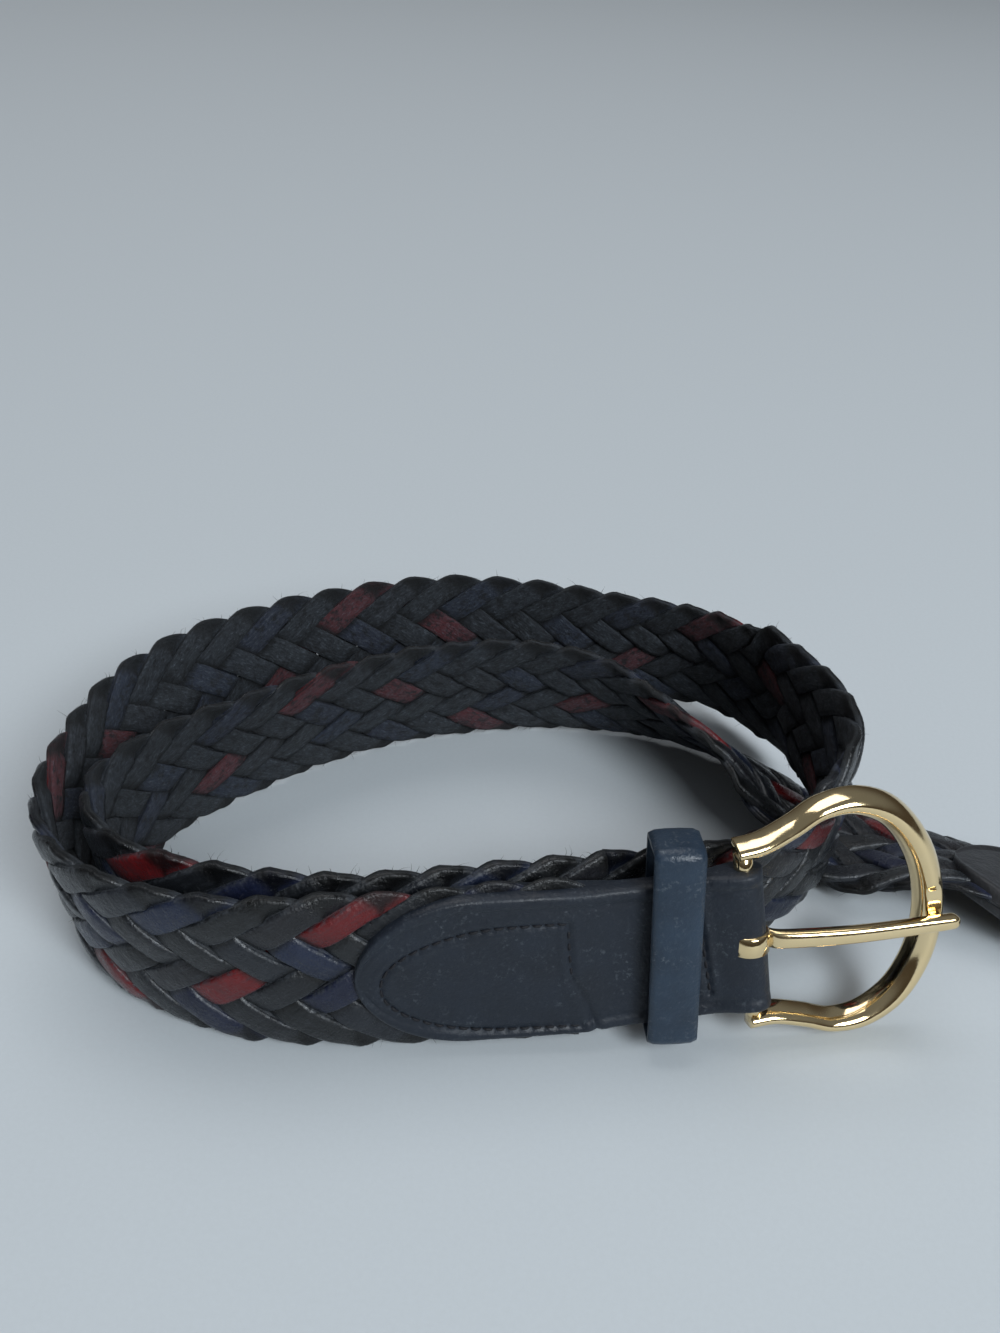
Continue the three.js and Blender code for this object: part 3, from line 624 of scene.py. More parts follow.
def tab_sections(s, half, thick, rim, points_across):
    """Rings round a flat leather piece: a soft raised rim along its edge on both faces."""
    share = np.linspace(-1, 1, points_across)
    crowded = np.sign(share) * (1 - (1 - np.abs(share)) ** EDGE_CROWDING)
    rings = []
    for at, width, depth in zip(s, half, thick):
        across = crowded * width
        inside = width - np.abs(across)
        bevel = rounded_end(1, inside, EDGE_ROUND)
        lift = ridge(inside, rim, RIM_PLACE, RIM_SPREAD)
        lift = lift - ridge(inside, rim * RIM_GROOVE_SHARE, RIM_GROOVE_PLACE, RIM_GROOVE_SPREAD)
        n = depth * mix(EDGE_THICKNESS_SHARE, 1, bevel) + lift * bevel * min(width / RIM_FADE_WIDTH, 1)
        outer = [(at, b, value) for b, value in zip(across, n)]
        inner = [(at, b, -value) for b, value in zip(across[::-1], n[::-1])]
        rings.append(outer + inner)
    return np.array(rings)


def tab_half_thickness(past_band):
    return mix(POCKET_THICKNESS, TAB_SEWN_THICKNESS, past_band) / 2


def buckle_tab_half_thickness(s):
    """Thin between the fold and the braid's end, thick where the braid is sewn in."""
    return tab_half_thickness(1 - smooth(s, BAND_START - FOLD_BLEND, BAND_START))


def tab_seam_path():
    """The stitched outline on the tab, from the cross seam round its pointed end and back."""
    upper = np.linspace(SEAM_PLACE, SEAM_END, SEAM_SAMPLES)
    lower = np.linspace(SEAM_END, SEAM_RETURN, SEAM_SAMPLES)
    rise = SEAM_HALF * rounded_end(1, SEAM_END - upper, SEAM_POINT)
    fall = SEAM_HALF * rounded_end(1, SEAM_END - lower, SEAM_POINT)
    outward = np.stack([upper, SEAM_MIDDLE + rise], axis=1)
    return np.vstack([outward, np.stack([lower, SEAM_MIDDLE - fall], axis=1)])


def measured(path):
    """A path's points, and how far along it each of them lies."""
    path = np.asarray(path, float)
    steps = np.linalg.norm(np.diff(path, axis=0), axis=1)
    return path, np.concatenate([[0], np.cumsum(steps)])


def even_places(path, pitch):
    """Points spread evenly along a path, about one pitch apart."""
    path, total = measured(path)
    at = np.linspace(0, total[-1], int(total[-1] / pitch) + 1)
    return np.stack([np.interp(at, total, path[:, 0]), np.interp(at, total, path[:, 1])], axis=1)


def nearest_distance(s, b, points):
    gaps = np.full(s.shape, 1.0)
    for at, up in points:
        gaps = np.minimum(gaps, np.hypot(s - at, b - up))
    return gaps


def tab_relief(s, b):
    """Change of the tab's face: a groove and dimples at the stitches, a crease, and soft waves."""
    relief = np.zeros(s.shape)
    for path in (tab_seam_path(), CROSS_SEAM, KEEPER_SEAM):
        line = nearest_distance(s, b, even_places(path, SEAM_LINE_STEP))
        holes = nearest_distance(s, b, even_places(path, STITCH_PITCH))
        relief += ridge(line, *SEAM_GROOVE)
        relief += ridge(line, *SEAM_SWELL)
        relief += ridge(holes, *STITCH_DIMPLE)
    crease = nearest_distance(s, b, even_places(CREASE, CREASE_LINE_STEP))
    relief += ridge(crease, *CREASE_GROOVE)
    relief += ridge(crease, *CREASE_SWELL)
    waves = np.sin(s / WAVE_ALONG + 2 * np.sin(b / WAVE_BEND)) * np.sin(b / WAVE_ACROSS + 1)
    return relief + WAVE_HEIGHT * waves * smooth(s, *WAVE_FADE)


def cut_away(obj, points, faces):
    """Cuts the body with these points and faces out of an object."""
    mesh = bpy.data.meshes.new("cutter")
    mesh.from_pydata([tuple(p) for p in points], [], faces)
    cutter = bpy.data.objects.new("cutter", mesh)
    bpy.context.scene.collection.objects.link(cutter)
    change = obj.modifiers.new("cut", "BOOLEAN")
    change.object = cutter
    change.solver = "EXACT"
    graph = bpy.context.evaluated_depsgraph_get()
    result = bpy.data.meshes.new_from_object(obj.evaluated_get(graph))
    obj.modifiers.clear()
    obj.data = result
    bpy.data.objects.remove(cutter)


def prism(outline, height):
    """Points and faces of an upright prism over an outline of (x, z), in the heel bar's axes."""
    place, along, up, out = (v[0] for v in ROUTE.frame(0))
    count = len(outline)
    points = []
    for middle in height:
        points += [place + along * x + out * z + up * middle for x, z in outline]
    sides = [(i, (i + 1) % count, (i + 1) % count + count, i + count) for i in range(count)]
    ends = [tuple(range(count))[::-1], tuple(range(count, 2 * count))]
    return points, sides + ends


def leather_body(name, shape, material):
    """A closed piece of leather from rings of (s, b, n)."""
    rings = ROUTE.point(shape[..., 0], shape[..., 1], shape[..., 2])
    parts = MeshParts()
    parts.add_tube(rings[:, ::-1])
    return parts.build(name, material)


def buckle_tab():
    fold_radius = HEEL_BAR_RADIUS + PIECE_GAP + FOLD_WALL
    turn = np.linspace(0, math.pi / 2, FOLD_STEPS)
    s = [-fold_radius * np.cos(turn), np.arange(TAB_STEP, TAB_LENGTH, TAB_STEP)]
    s = np.unique(np.concatenate(s + [TAB_LENGTH - TAB_END_STEPS]))
    fold = fold_radius * np.sqrt(np.maximum(1 - np.clip(-s / fold_radius, 0, 1) ** 2, FOLD_NOSE))
    past_fold = mix(fold_radius, buckle_tab_half_thickness(s), smooth(s, 0, FOLD_BLEND))
    width = mix(TAB_FOLD_WIDTH, TAB_WIDTH, smooth(s, 0, TAB_FOLD_TAPER)) / 2
    half = rounded_end(width, TAB_LENGTH - s, TAB_END_ROUND)
    shape = tab_sections(s, half, np.where(s < 0, fold, past_fold), TAB_RIM, TAB_POINTS_ACROSS)
    faces = np.sign(shape[..., 2])
    relief = tab_relief(shape[..., 0], shape[..., 1])
    shape[..., 2] += faces * relief * smooth(shape[..., 0], 0, RELIEF_START)
    obj = leather_body("tab_leather", shape, TAB_LEATHER)
    bore = HEEL_BAR_RADIUS + PIECE_GAP
    circle = [(bore * math.sin(a), bore * math.cos(a)) for a in round_angles(28)]
    cut_away(obj, *prism(circle, (-TAB_WIDTH, TAB_WIDTH)))
    far = HEEL_BAR_RADIUS + PRONG_EYE_PLAY + PRONG_EYE_WALL + PIECE_GAP * 3
    deep = fold_radius * 2
    slot = [(far, -deep), (-deep, -deep), (-deep, deep), (far, deep)]
    slot_half = PRONG_EYE_WIDTH / 2 + PRONG_EYE_PLAY + PIECE_GAP
    cut_away(obj, *prism(slot, (PRONG_SLIDE - slot_half, PRONG_SLIDE + slot_half)))
    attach(obj, "strap")
    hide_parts("buckle_tab")


def tip_tab():
    s = np.arange(TIP_START, TIP_END, TIP_STEP)[1:]
    s = np.unique(np.concatenate([s, TIP_START + TIP_END_STEPS, TIP_END - TIP_END_STEPS]))
    thick = tab_half_thickness(smooth(s, BAND_END, BAND_END + FOLD_BLEND))
    start = rounded_end(TIP_TAB_WIDTH / 2, s - TIP_START, TIP_END_ROUND)
    end = rounded_end(TIP_TAB_WIDTH / 2, TIP_END - s, TIP_END_ROUND)
    shape = tab_sections(s, np.minimum(start, end), thick, TIP_RIM, TIP_POINTS_ACROSS)
    obj = leather_body("tip_leather", shape, TIP_LEATHER)
    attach(obj, "strap")
    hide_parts("tip_tab")


def keeper_line():
    """The keeper's rounded outline: middles of its corner rounds, and directions out of it."""
    half_x = KEEPER_DEPTH / 2 - KEEPER_CORNER
    half_y = KEEPER_HEIGHT / 2 - KEEPER_CORNER
    line = []
    for right, top, first in ((1, -1, -90), (1, 1, 0), (-1, 1, 90), (-1, -1, 180)):
        for step in range(KEEPER_CORNER_STEPS + 1):
            angle = math.radians(first + step * 90 / KEEPER_CORNER_STEPS)
            line.append((right * half_x, top * half_y, math.cos(angle), math.sin(angle)))
    return line


def keeper():
    place, along, up, out = (v[0] for v in ROUTE.frame(KEEPER_DISTANCE))
    behind = TAB_SEWN_THICKNESS / 2 + PIECE_GAP + KEEPER_WALL
    centre = place + out * (KEEPER_DEPTH / 2 - behind - FOLD_WALL / 4)
    cos, sin = math.cos(KEEPER_TURN), math.sin(KEEPER_TURN)
    rings = []
    for cx, cy, nx, ny in keeper_line():
        ring = []
        for a, d in KEEPER_SECTION:
            radius = KEEPER_CORNER - d * KEEPER_WALL
            y = cy + ny * radius + KEEPER_RAISE
            z = (a - 0.5) * KEEPER_WIDTH
            high = y * cos - z * sin
            forward = y * sin + z * cos
            ring.append(centre + out * (cx + nx * radius) + up * high + along * forward)
        rings.append(ring)
    stations, sides = len(rings), len(KEEPER_SECTION)
    faces = []
    for i in range(stations):
        k = (i + 1) % stations
        for j in range(sides):
            m = (j + 1) % sides
            faces.append((i * sides + j, k * sides + j, k * sides + m, i * sides + m))
    obj = new_object("keeper_leather", np.array(rings).reshape(-1, 3), faces, KEEPER_LEATHER)
    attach(obj, "strap")
    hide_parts("keeper_loop")


def buckle_axes():
    place, along, up, out = (v[0] for v in ROUTE.frame(0))
    cos, sin = math.cos(-BUCKLE_SWING), math.sin(-BUCKLE_SWING)

    def turned(v):
        return v * cos + np.cross(up, v) * sin + up * np.dot(up, v) * (1 - cos)

    return place, turned(-along), up, turned(out)


def in_buckle(points):
    """Points from the buckle's own axes: away from the strap, up, and out of the loop."""
    place, away, up, out = buckle_axes()
    return place + points[..., 0:1] * away + points[..., 1:2] * up + points[..., 2:3] * out


def in_prong(points):
    """Points from the prong's own axes, which droop a little in the buckle's."""
    cos, sin = math.cos(PRONG_DROOP), math.sin(PRONG_DROOP)
    x = points[..., 0] * cos - points[..., 1] * sin
    y = points[..., 0] * sin + points[..., 1] * cos + PRONG_SLIDE
    return in_buckle(np.stack([x, y, points[..., 2]], axis=-1))


def bow_rings(length, arm):
    """The frame's bow and arms, flat at the back, with a notch for the prong."""
    half = FRAME_HEIGHT / 2 - FRAME_BAR_WIDTH / 2
    upper = np.array([[a * length, p * arm + q * half, 0] for a, p, q in FRAME_LINE])
    lower = upper[-2::-1] * np.array([1, -1, 1])
    shares = np.linspace(0, 1, FRAME_STATIONS)
    centres, tangents = StrapRoute.curve(np.vstack([upper, lower]), shares)
    tangents /= np.linalg.norm(tangents, axis=1)[:, None]
    across = np.stack([-tangents[:, 1], tangents[:, 0], tangents[:, 2]], axis=1)
    turn = np.concatenate([np.linspace(0, math.pi, FRAME_ARC_POINTS), FRAME_BACK_CORNERS])
    broad = smooth(centres[:, 0], length * FRAME_BROADENING[0], length * FRAME_BROADENING[1])
    width = mix(FRAME_ARM_SHARE, 1, broad) * FRAME_BAR_WIDTH
    side = np.cos(turn)[None, :] * width[:, None] / 2
    front = np.maximum(np.sin(turn), -FRAME_BACK_BULGE) * FRAME_BAR_THICKNESS
    rings = centres[:, None, :] + across[:, None, :] * side[:, :, None]
    rings = rings + np.array([0, 0, 1.0]) * (front - FRAME_BAR_THICKNESS / 2)[None, :, None]
    notch = 1 - smooth(np.abs(rings[..., 1]), *NOTCH_HALF_WIDTHS)
    height = rings[..., 2]
    lowered = mix(height, np.minimum(height, FRAME_BAR_THICKNESS / 2 - NOTCH_DEPTH), notch)
    rings[..., 2] = np.where(rings[..., 0] > length - FRAME_BAR_WIDTH, lowered, height)
    return rings


def buckle_frame():
    arm = TAB_FOLD_WIDTH / 2 + PIECE_GAP + FRAME_BAR_WIDTH / 2
    parts = MeshParts()
    parts.add_tube(in_buckle(bow_rings(FRAME_LENGTH - FRAME_BAR_WIDTH / 2, arm)))
    circle = [(HEEL_BAR_RADIUS * math.sin(a), HEEL_BAR_RADIUS * math.cos(a)) for a in round_angles(24)]
    bar = [[(x, y, z) for x, z in circle] for y in np.linspace(-arm, arm, 12)]
    parts.add_tube(in_buckle(np.array(bar)))
    obj = parts.build("buckle_bow", BRASS)
    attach(obj, "frame")
    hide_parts("buckle_frame")


def prong_rings(root):
    """The prong's shank, from its eye to its rounded end on the bow."""
    over = FRAME_BAR_THICKNESS / 2 + PIECE_GAP + PRONG_THICKNESS / 2
    tip = FRAME_LENGTH + PRONG_OVERHANG
    line = [
        (root, 0, 0),
        (root + PRONG_EYE_WALL / 2 + PRONG_THICKNESS, 0, over * PRONG_RISE[0]),
        (FRAME_LENGTH * 0.5, 0, over * PRONG_RISE[1]),
        (FRAME_LENGTH - FRAME_BAR_WIDTH, 0, over),
        (tip, 0, over),
    ]
    to_end = 1 - (1 - PRONG_END_SHARE) * (1 - np.linspace(0, 1, 20)[1:]) ** 2
    shares = np.concatenate([np.linspace(0, PRONG_END_SHARE, 60), to_end])
    centres, _ = StrapRoute.curve(np.array(line), shares)
    taper = mix(1, PRONG_TIP_SHARE, shares)
    ending = rounded_end(1, tip - centres[:, 0] + PRONG_END_FLAT, PRONG_WIDTH * PRONG_END_ROUND)
    turn = round_angles(24)
    cos = np.sign(np.cos(turn)) * np.abs(np.cos(turn)) ** PRONG_SQUARENESS
    sin = np.sign(np.sin(turn)) * np.abs(np.sin(turn)) ** PRONG_SQUARENESS
    side = (PRONG_WIDTH / 2 * taper * ending)[:, None] * cos[None, :]
    front = (PRONG_THICKNESS / 2 * ending)[:, None] * sin[None, :]
    return centres[:, None, :] + np.stack([np.zeros_like(side), side, front], axis=-1)


def buckle_prong():
    inner = HEEL_BAR_RADIUS + PRONG_EYE_PLAY
    outer = inner + PRONG_EYE_WALL
    half = PRONG_EYE_WIDTH / 2
    cut = PRONG_EYE_CHAMFER
    profile = [(inner, -half), (outer - cut, -half), (outer, -half + cut)]
    profile += [(outer, half - cut), (outer - cut, half), (inner, half)]
    around = np.linspace(0, 2 * math.pi, 41)
    eye = np.array([[(r * math.cos(a), y, r * math.sin(a)) for r, y in profile] for a in around])
    parts = MeshParts()
    parts.add_tube(in_prong(prong_rings(inner + PRONG_EYE_WALL / 2)))
    parts.add_tube(in_prong(eye))
    obj = parts.build("prong_shank", BRASS)
    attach(obj, "prong")
    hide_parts("buckle_prong")


def stitch_row(name, path):
    """Thread stitches along a path of (s, b) points on the tab's outer face."""
    path, total = measured(path)
    count = int(total[-1] / STITCH_PITCH)
    turn = round_angles(STITCH_SIDES)
    arc = np.sqrt(np.maximum(1 - np.linspace(-1, 1, STITCH_POINTS) ** 2, 0))
    reach = np.linspace(-STITCH_LENGTH / 2, STITCH_LENGTH / 2, STITCH_POINTS)
    radius = STITCH_RADIUS * mix(STITCH_END_SHARE, 1, arc)
    parts = MeshParts()
    for k in range(count):
        at = (k + 0.5) * total[-1] / count + reach
        s = np.interp(at, total, path[:, 0])
        b = np.interp(at, total, path[:, 1])
        n = buckle_tab_half_thickness(s) + STITCH_RADIUS * (STITCH_ARCH * arc - STITCH_SUNK)
        centre = ROUTE.point(s, b, n)
        tangent = np.gradient(centre, axis=0)
        tangent /= np.linalg.norm(tangent, axis=1)[:, None]
        out = ROUTE.frame(s)[3]
        side = np.cross(tangent, out)
        side /= np.linalg.norm(side, axis=1)[:, None]
        circle = side[:, None, :] * np.cos(turn)[None, :, None]
        circle = circle + out[:, None, :] * np.sin(turn)[None, :, None]
        parts.add_tube(centre[:, None, :] + radius[:, None, None] * circle)
    obj = parts.build(name, THREAD)
    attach(obj, "strap")


class Recipe:
    """A material's nodes, with short calls that add and join them."""

    def __init__(self, name):
        self.material = bpy.data.materials.new(name)
        self.material.use_nodes = True
        self.nodes = self.material.node_tree.nodes
        self.links = self.material.node_tree.links
        self.shader = self.nodes["Principled BSDF"]

    def put(self, socket, value):
        if isinstance(value, bpy.types.NodeSocket):
            self.links.new(value, socket)
        elif isinstance(value, tuple):
            socket.default_value = (*value, 1)[: len(socket.default_value)]
        else:
            socket.default_value = value

    def set(self, **values):
        for name, value in values.items():
            self.put(self.shader.inputs[name.replace("_", " ")], value)

    def attribute(self, name):
        node = self.nodes.new("ShaderNodeAttribute")
        node.attribute_name = name
        return node.outputs["Fac"]

    def math(self, operation, a, b):
        node = self.nodes.new("ShaderNodeMath")
        node.operation = operation
        self.put(node.inputs[0], a)
        self.put(node.inputs[1], b)
        return node.outputs[0]

    def add(self, a, b):
        return self.math("ADD", a, b)

    def times(self, a, b):
        return self.math("MULTIPLY", a, b)

    def place(self, x, y, z):
        node = self.nodes.new("ShaderNodeCombineXYZ")
        for socket, value in zip(node.inputs, (x, y, z)):
            self.put(socket, value)
        return node.outputs[0]

    def object_place(self):
        return self.nodes.new("ShaderNodeTexCoord").outputs["Object"]

    def noise(self, where, scale, detail=4.0, roughness=0.55):
        node = self.nodes.new("ShaderNodeTexNoise")
        self.put(node.inputs["Vector"], where)
        self.put(node.inputs["Scale"], scale)
        self.put(node.inputs["Detail"], detail)
        self.put(node.inputs["Roughness"], roughness)
        return node.outputs["Fac"]

    def band(self, value, low, high, start=0.0, end=1.0):
        """A soft step from start, where value is low, to end, where it is high."""
        node = self.nodes.new("ShaderNodeMapRange")
        node.interpolation_type = "SMOOTHSTEP"
        for socket, item in zip(node.inputs, (value, low, high, start, end)):
            self.put(socket, item)
        return node.outputs[0]

    def mix(self, share, a, b, blend="MIX"):
        node = self.nodes.new("ShaderNodeMixRGB")
        node.blend_type = blend
        for socket, value in zip(node.inputs, (share, a, b)):
            self.put(socket, value)
        return node.outputs[0]

    def shade(self, colour, share, dark, light):
        """The colour times a tone between dark and light."""
        return self.mix(1.0, colour, self.mix(share, dark, light), "MULTIPLY")

    def pick(self, value, colours):
        """The colour of the step that value, 0 to 1, falls in."""
        node = self.nodes.new("ShaderNodeValToRGB")
        node.color_ramp.interpolation = "CONSTANT"
        steps = node.color_ramp.elements
        while len(steps) < len(colours):
            steps.new(1)
        for k, colour in enumerate(colours):
            steps[k].position = max((k - 0.5) / len(colours), 0)
            steps[k].color = (*colour, 1)
        self.put(node.inputs["Fac"], value)
        return node.outputs["Color"]

    def bump(self, height, distance, strength=1.0):
        node = self.nodes.new("ShaderNodeBump")
        self.put(node.inputs["Height"], height)
        self.put(node.inputs["Distance"], distance)
        self.put(node.inputs["Strength"], strength)
        return node.outputs["Normal"]


def grain_side(recipe, dye, where):
    """The dyed face of a strand, worn pale along its edges."""
    scuffs = recipe.noise(where, scale=9.0, detail=5.0, roughness=0.7)
    at_edges = recipe.band(recipe.attribute("edge"), low=0.72, high=1.0)
    worn = recipe.times(at_edges, recipe.band(scuffs, low=0.42, high=0.6))
    return recipe.mix(recipe.times(worn, 0.75), dye, WORN_COLOUR)


def flesh_side(recipe, dye, where, fibres):
    """The rough back of a strand: dark hollows, and pale fibres that run along it."""
    nap = recipe.noise(where, scale=3.6, detail=6.0, roughness=0.8)
    bright = recipe.mix(1.0, dye, FLESH_BRIGHTENING, "MULTIPLY")
    colour = recipe.mix(0.32, bright, FLESH_COLOUR)
    hollows = recipe.band(nap, low=0.4, high=0.52, start=0.9, end=0.0)
    colour = recipe.mix(hollows, colour, FLESH_DARK)
    tufts = recipe.band(nap, low=0.45, high=0.68, start=0.25, end=0.9)
    share = recipe.times(recipe.band(fibres, low=0.46, high=0.7), tufts)
    return recipe.mix(share, colour, FLESH_FIBRES)


def braid_leather():
    """Strands in their own dyes, with a grain side, a fibrous flesh side, and painted shade where they
    dive under one another.
    """
    recipe = Recipe("braid_leather")
    strand = recipe.attribute("strand")
    grain = recipe.attribute("grain")
    cross = recipe.attribute("cross")
    run = recipe.add(recipe.attribute("run"), recipe.times(strand, GRAIN_SHIFT))
    where = recipe.place(run, cross, grain)
    patches = recipe.noise(where, scale=1.6)
    dye = recipe.pick(strand, STRAND_COLOURS)
    dye = recipe.shade(dye, patches, (0.35, 0.35, 0.36), (1.65, 1.65, 1.66))
    streaks_place = recipe.place(run, recipe.times(cross, 6.0), grain)
    streaks = recipe.noise(streaks_place, scale=2.6, detail=5.0)
    dye = recipe.mix(recipe.band(streaks, low=0.5, high=0.78, end=0.5), dye, STREAK_COLOUR)
    fibres_place = recipe.place(run, recipe.times(cross, 2.5), 4.0)
    fibres = recipe.noise(fibres_place, scale=8.0, detail=6.0, roughness=0.75)
    flesh = flesh_side(recipe, dye, where, fibres)
    colour = recipe.mix(grain, flesh, grain_side(recipe, dye, where))
    # Painted shade: the strands darken where they dive under their neighbours
    gaps = recipe.band(recipe.attribute("sunk"), low=0.35, high=0.95, end=0.9)
    colour = recipe.mix(gaps, colour, PAINTED_GAP_SHADE)
    gloss = recipe.noise(where, scale=4.0)
    gloss = recipe.band(gloss, low=0.3, high=0.7, start=0.22, end=0.42)
    roughness = recipe.add(gloss, recipe.band(grain, low=1.0, high=0.4, end=0.5))
    pores = recipe.noise(where, scale=13.0, roughness=0.65)
    creases = recipe.noise(recipe.place(recipe.times(run, 3.0), cross, grain), scale=2.4)
    height = recipe.add(recipe.times(pores, 0.5), recipe.times(creases, 0.8))
    on_flesh = recipe.band(grain, low=0.9, high=0.3, end=3.2)
    height = recipe.add(height, recipe.times(fibres, on_flesh))
    recipe.set(
        Base_Color=colour,
        Roughness=roughness,
        Normal=recipe.bump(height, 0.45 * MM),
        Specular_IOR_Level=0.4,
        Sheen_Weight=0.04,
        Sheen_Roughness=0.4,
        Sheen_Tint=(0.75, 0.86, 1.0),
    )
    return recipe.material


def plain_leather(name, colour, roughness, scuff):
    """Smooth dyed leather: fine grain, soft creases, and pale rubbed specks."""
    recipe = Recipe(name)
    where = recipe.object_place()
    clouds = recipe.noise(where, scale=110.0)
    dye = recipe.shade(colour, clouds, (0.45, 0.45, 0.47), (1.55, 1.55, 1.53))
    specks = recipe.noise(where, scale=1100.0, roughness=0.7)
    rubbed = recipe.noise(where, scale=160.0, roughness=0.6)
    rubbed = recipe.band(rubbed, low=0.45, high=0.7, start=0.15)
    share = recipe.times(recipe.band(specks, low=0.53, high=0.7), rubbed)
    dye = recipe.mix(recipe.times(share, scuff), dye, SCUFF_COLOUR)
    pores = recipe.noise(where, scale=1300.0, detail=3.0)
    creases = recipe.noise(where, scale=300.0, detail=5.0, roughness=0.6)
    height = recipe.add(recipe.times(pores, 0.5), recipe.times(creases, 0.9))
    gloss = recipe.band(clouds, low=0.3, high=0.7, start=roughness - 0.06, end=roughness + 0.1)
    recipe.set(
        Base_Color=dye,
        Roughness=gloss,
        Normal=recipe.bump(height, 0.25 * MM),
        Specular_IOR_Level=0.4,
        Sheen_Weight=0.05,
        Sheen_Roughness=0.4,
        Sheen_Tint=(0.7, 0.84, 1.0),
    )
    return recipe.material


def thread(name, colour):
    recipe = Recipe(name)
    twist = recipe.noise(recipe.object_place(), scale=3500.0, detail=2.0)
    tone = recipe.shade(colour, twist, (0.5, 0.5, 0.5), (1.5, 1.5, 1.5))
    recipe.set(Base_Color=tone, Roughness=0.75, Normal=recipe.bump(twist, 0.08 * MM))
    return recipe.material


def brass():
    recipe = Recipe("polished_brass")
    where = recipe.object_place()
    tone = recipe.noise(where, scale=120.0, detail=2.0)
    smears = recipe.noise(where, scale=260.0, detail=5.0, roughness=0.65)
    scratches = recipe.noise(where, scale=2600.0, detail=3.0)
    recipe.set(
        Base_Color=recipe.mix(tone, *BRASS_COLOURS),
        Metallic=1.0,
        Roughness=recipe.band(smears, low=0.35, high=0.75, start=0.07, end=0.19),
        Normal=recipe.bump(scratches, 0.015 * MM, strength=0.5),
    )
    return recipe.material


def floor():
    recipe = Recipe("floor")
    grit = recipe.noise(recipe.object_place(), scale=900.0, roughness=0.7)
    recipe.set(
        Base_Color=recipe.mix(grit, *FLOOR_COLOURS),
        Roughness=0.75,
        Normal=recipe.bump(grit, 0.05 * MM, strength=0.4),
    )
    far = FLOOR_HALF
    corners = [(-far, -far, 0), (far, -far, 0), (far, far, 0), (-far, far, 0)]
    obj = new_object("floor", corners, [(0, 1, 2, 3)], recipe.material, smooth_faces=False)


def area_light(name, place, size, power, colour):
    data = bpy.data.lights.new(name, "AREA")
    data.shape = "RECTANGLE"
    data.size, data.size_y = size
    data.energy = power
    data.color = colour
    obj = bpy.data.objects.new(name, data)
    obj.location = place
    obj.rotation_euler = (Vector(LIGHT_TARGET) - Vector(place)).to_track_quat("-Z", "Y").to_euler()
    bpy.context.scene.collection.objects.link(obj)


def sky():
    """Soft light from above, dimmer low down, with a plain backdrop that only the camera sees."""
    world = bpy.data.worlds.new("studio")
    world.use_nodes = True
    nodes = world.node_tree.nodes
    links = world.node_tree.links
    direction = nodes.new("ShaderNodeSeparateXYZ")
    links.new(nodes.new("ShaderNodeTexCoord").outputs["Generated"], direction.inputs[0])
    height = nodes.new("ShaderNodeMapRange")
    height.interpolation_type = "SMOOTHSTEP"
    links.new(direction.outputs["Z"], height.inputs["Value"])
    height.inputs["From Min"].default_value, height.inputs["From Max"].default_value = WORLD_FADE
    shade = nodes.new("ShaderNodeMixRGB")
    links.new(height.outputs[0], shade.inputs[0])
    shade.inputs[1].default_value = WORLD_LOW
    shade.inputs[2].default_value = WORLD_HIGH
    seen = nodes.new("ShaderNodeMixRGB")
    links.new(nodes.new("ShaderNodeLightPath").outputs["Is Camera Ray"], seen.inputs[0])
    links.new(shade.outputs[0], seen.inputs[1])
    seen.inputs[2].default_value = BACKDROP_COLOUR
    background = nodes["Background"]
    links.new(seen.outputs[0], background.inputs["Color"])
    background.inputs["Strength"].default_value = WORLD_STRENGTH
    bpy.context.scene.world = world


def camera():
    data = bpy.data.cameras.new("camera")
    data.sensor_width = SENSOR
    data.lens = CAMERA_FOCAL_PIXELS / PICTURE_HEIGHT * SENSOR
    obj = bpy.data.objects.new("camera", data)
    obj.location = CAMERA_PLACE
    look = Vector((0, math.cos(CAMERA_PITCH), -math.sin(CAMERA_PITCH)))
    turn = look.to_track_quat("-Z", "Y").to_matrix().to_4x4()
    obj.rotation_euler = (turn @ Matrix.Rotation(CAMERA_ROLL, 4, "Z")).to_euler()
    bpy.context.scene.collection.objects.link(obj)
    bpy.context.scene.camera = obj


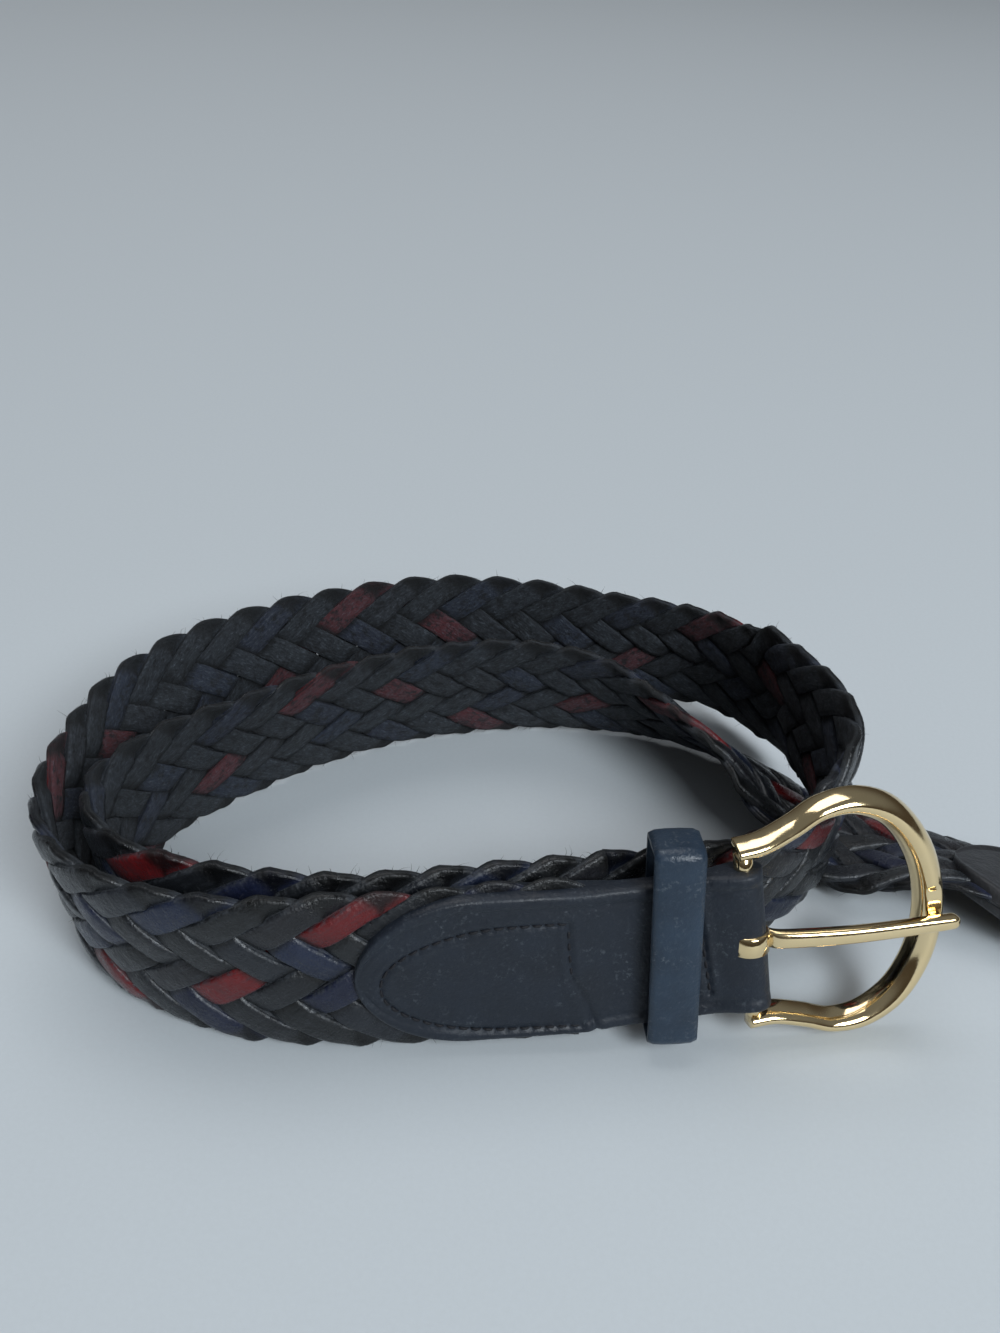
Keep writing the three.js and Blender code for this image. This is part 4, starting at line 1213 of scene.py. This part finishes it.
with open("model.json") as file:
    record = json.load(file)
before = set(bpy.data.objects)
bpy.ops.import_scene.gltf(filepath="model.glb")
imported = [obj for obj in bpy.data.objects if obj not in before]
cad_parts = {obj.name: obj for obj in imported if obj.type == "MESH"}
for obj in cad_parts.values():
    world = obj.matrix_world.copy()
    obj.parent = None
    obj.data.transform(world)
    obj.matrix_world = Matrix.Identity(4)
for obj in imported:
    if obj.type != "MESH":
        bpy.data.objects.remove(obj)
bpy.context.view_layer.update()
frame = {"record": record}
HEEL_PLACE = frame["record"]["behaviour"]["joints"][0]["pos_m"]
ROUTE = StrapRoute(OUTER_TURN + INNER_TURN, HEEL_PLACE)
TIP_END = ROUTE.length
TIP_START = TIP_END - TIP_TAB_LENGTH
BAND_END = TIP_START + TIP_BAND_OVERLAP
JOIN_ROW = len(OUTER_TURN) / (len(OUTER_TURN) + len(INNER_TURN) - 1)
TURN_JOIN = float(np.interp(JOIN_ROW, ROUTE.shares, ROUTE.lengths))

BRAID_LEATHER = braid_leather()
TAB_LEATHER = plain_leather("tab_leather", TAB_COLOUR, roughness=0.47, scuff=0.35)
KEEPER_LEATHER = plain_leather("keeper_leather", KEEPER_DYE_AND_PAINTED_SHEEN, roughness=0.36, scuff=0.8)
TIP_LEATHER = plain_leather("tip_leather", TIP_DYE_AND_PAINTED_LIGHT, roughness=0.42, scuff=0.3)
FIBRE = thread("fibre", FIBRE_COLOUR)
THREAD = thread("thread", THREAD_COLOUR)
BRASS = brass()

bpy.context.scene.view_settings.view_transform = "Standard"
camera()
sky()
for light in LIGHTS:
    area_light(*light)
floor()
braid("braid_outer", BAND_START, TURN_JOIN, 0, OUTER_BARE_ENDS, "braid_outer_turn")
braid("braid_inner", TURN_JOIN, BAND_END, INNER_RED_SHIFT, INNER_BARE_ENDS, "braid_inner_turn")
buckle_tab()
tip_tab()
keeper()
buckle_frame()
buckle_prong()
stitch_row("tab_stitches", tab_seam_path())
stitch_row("tab_cross_stitches", CROSS_SEAM)
stitch_row("keeper_stitches", KEEPER_SEAM)
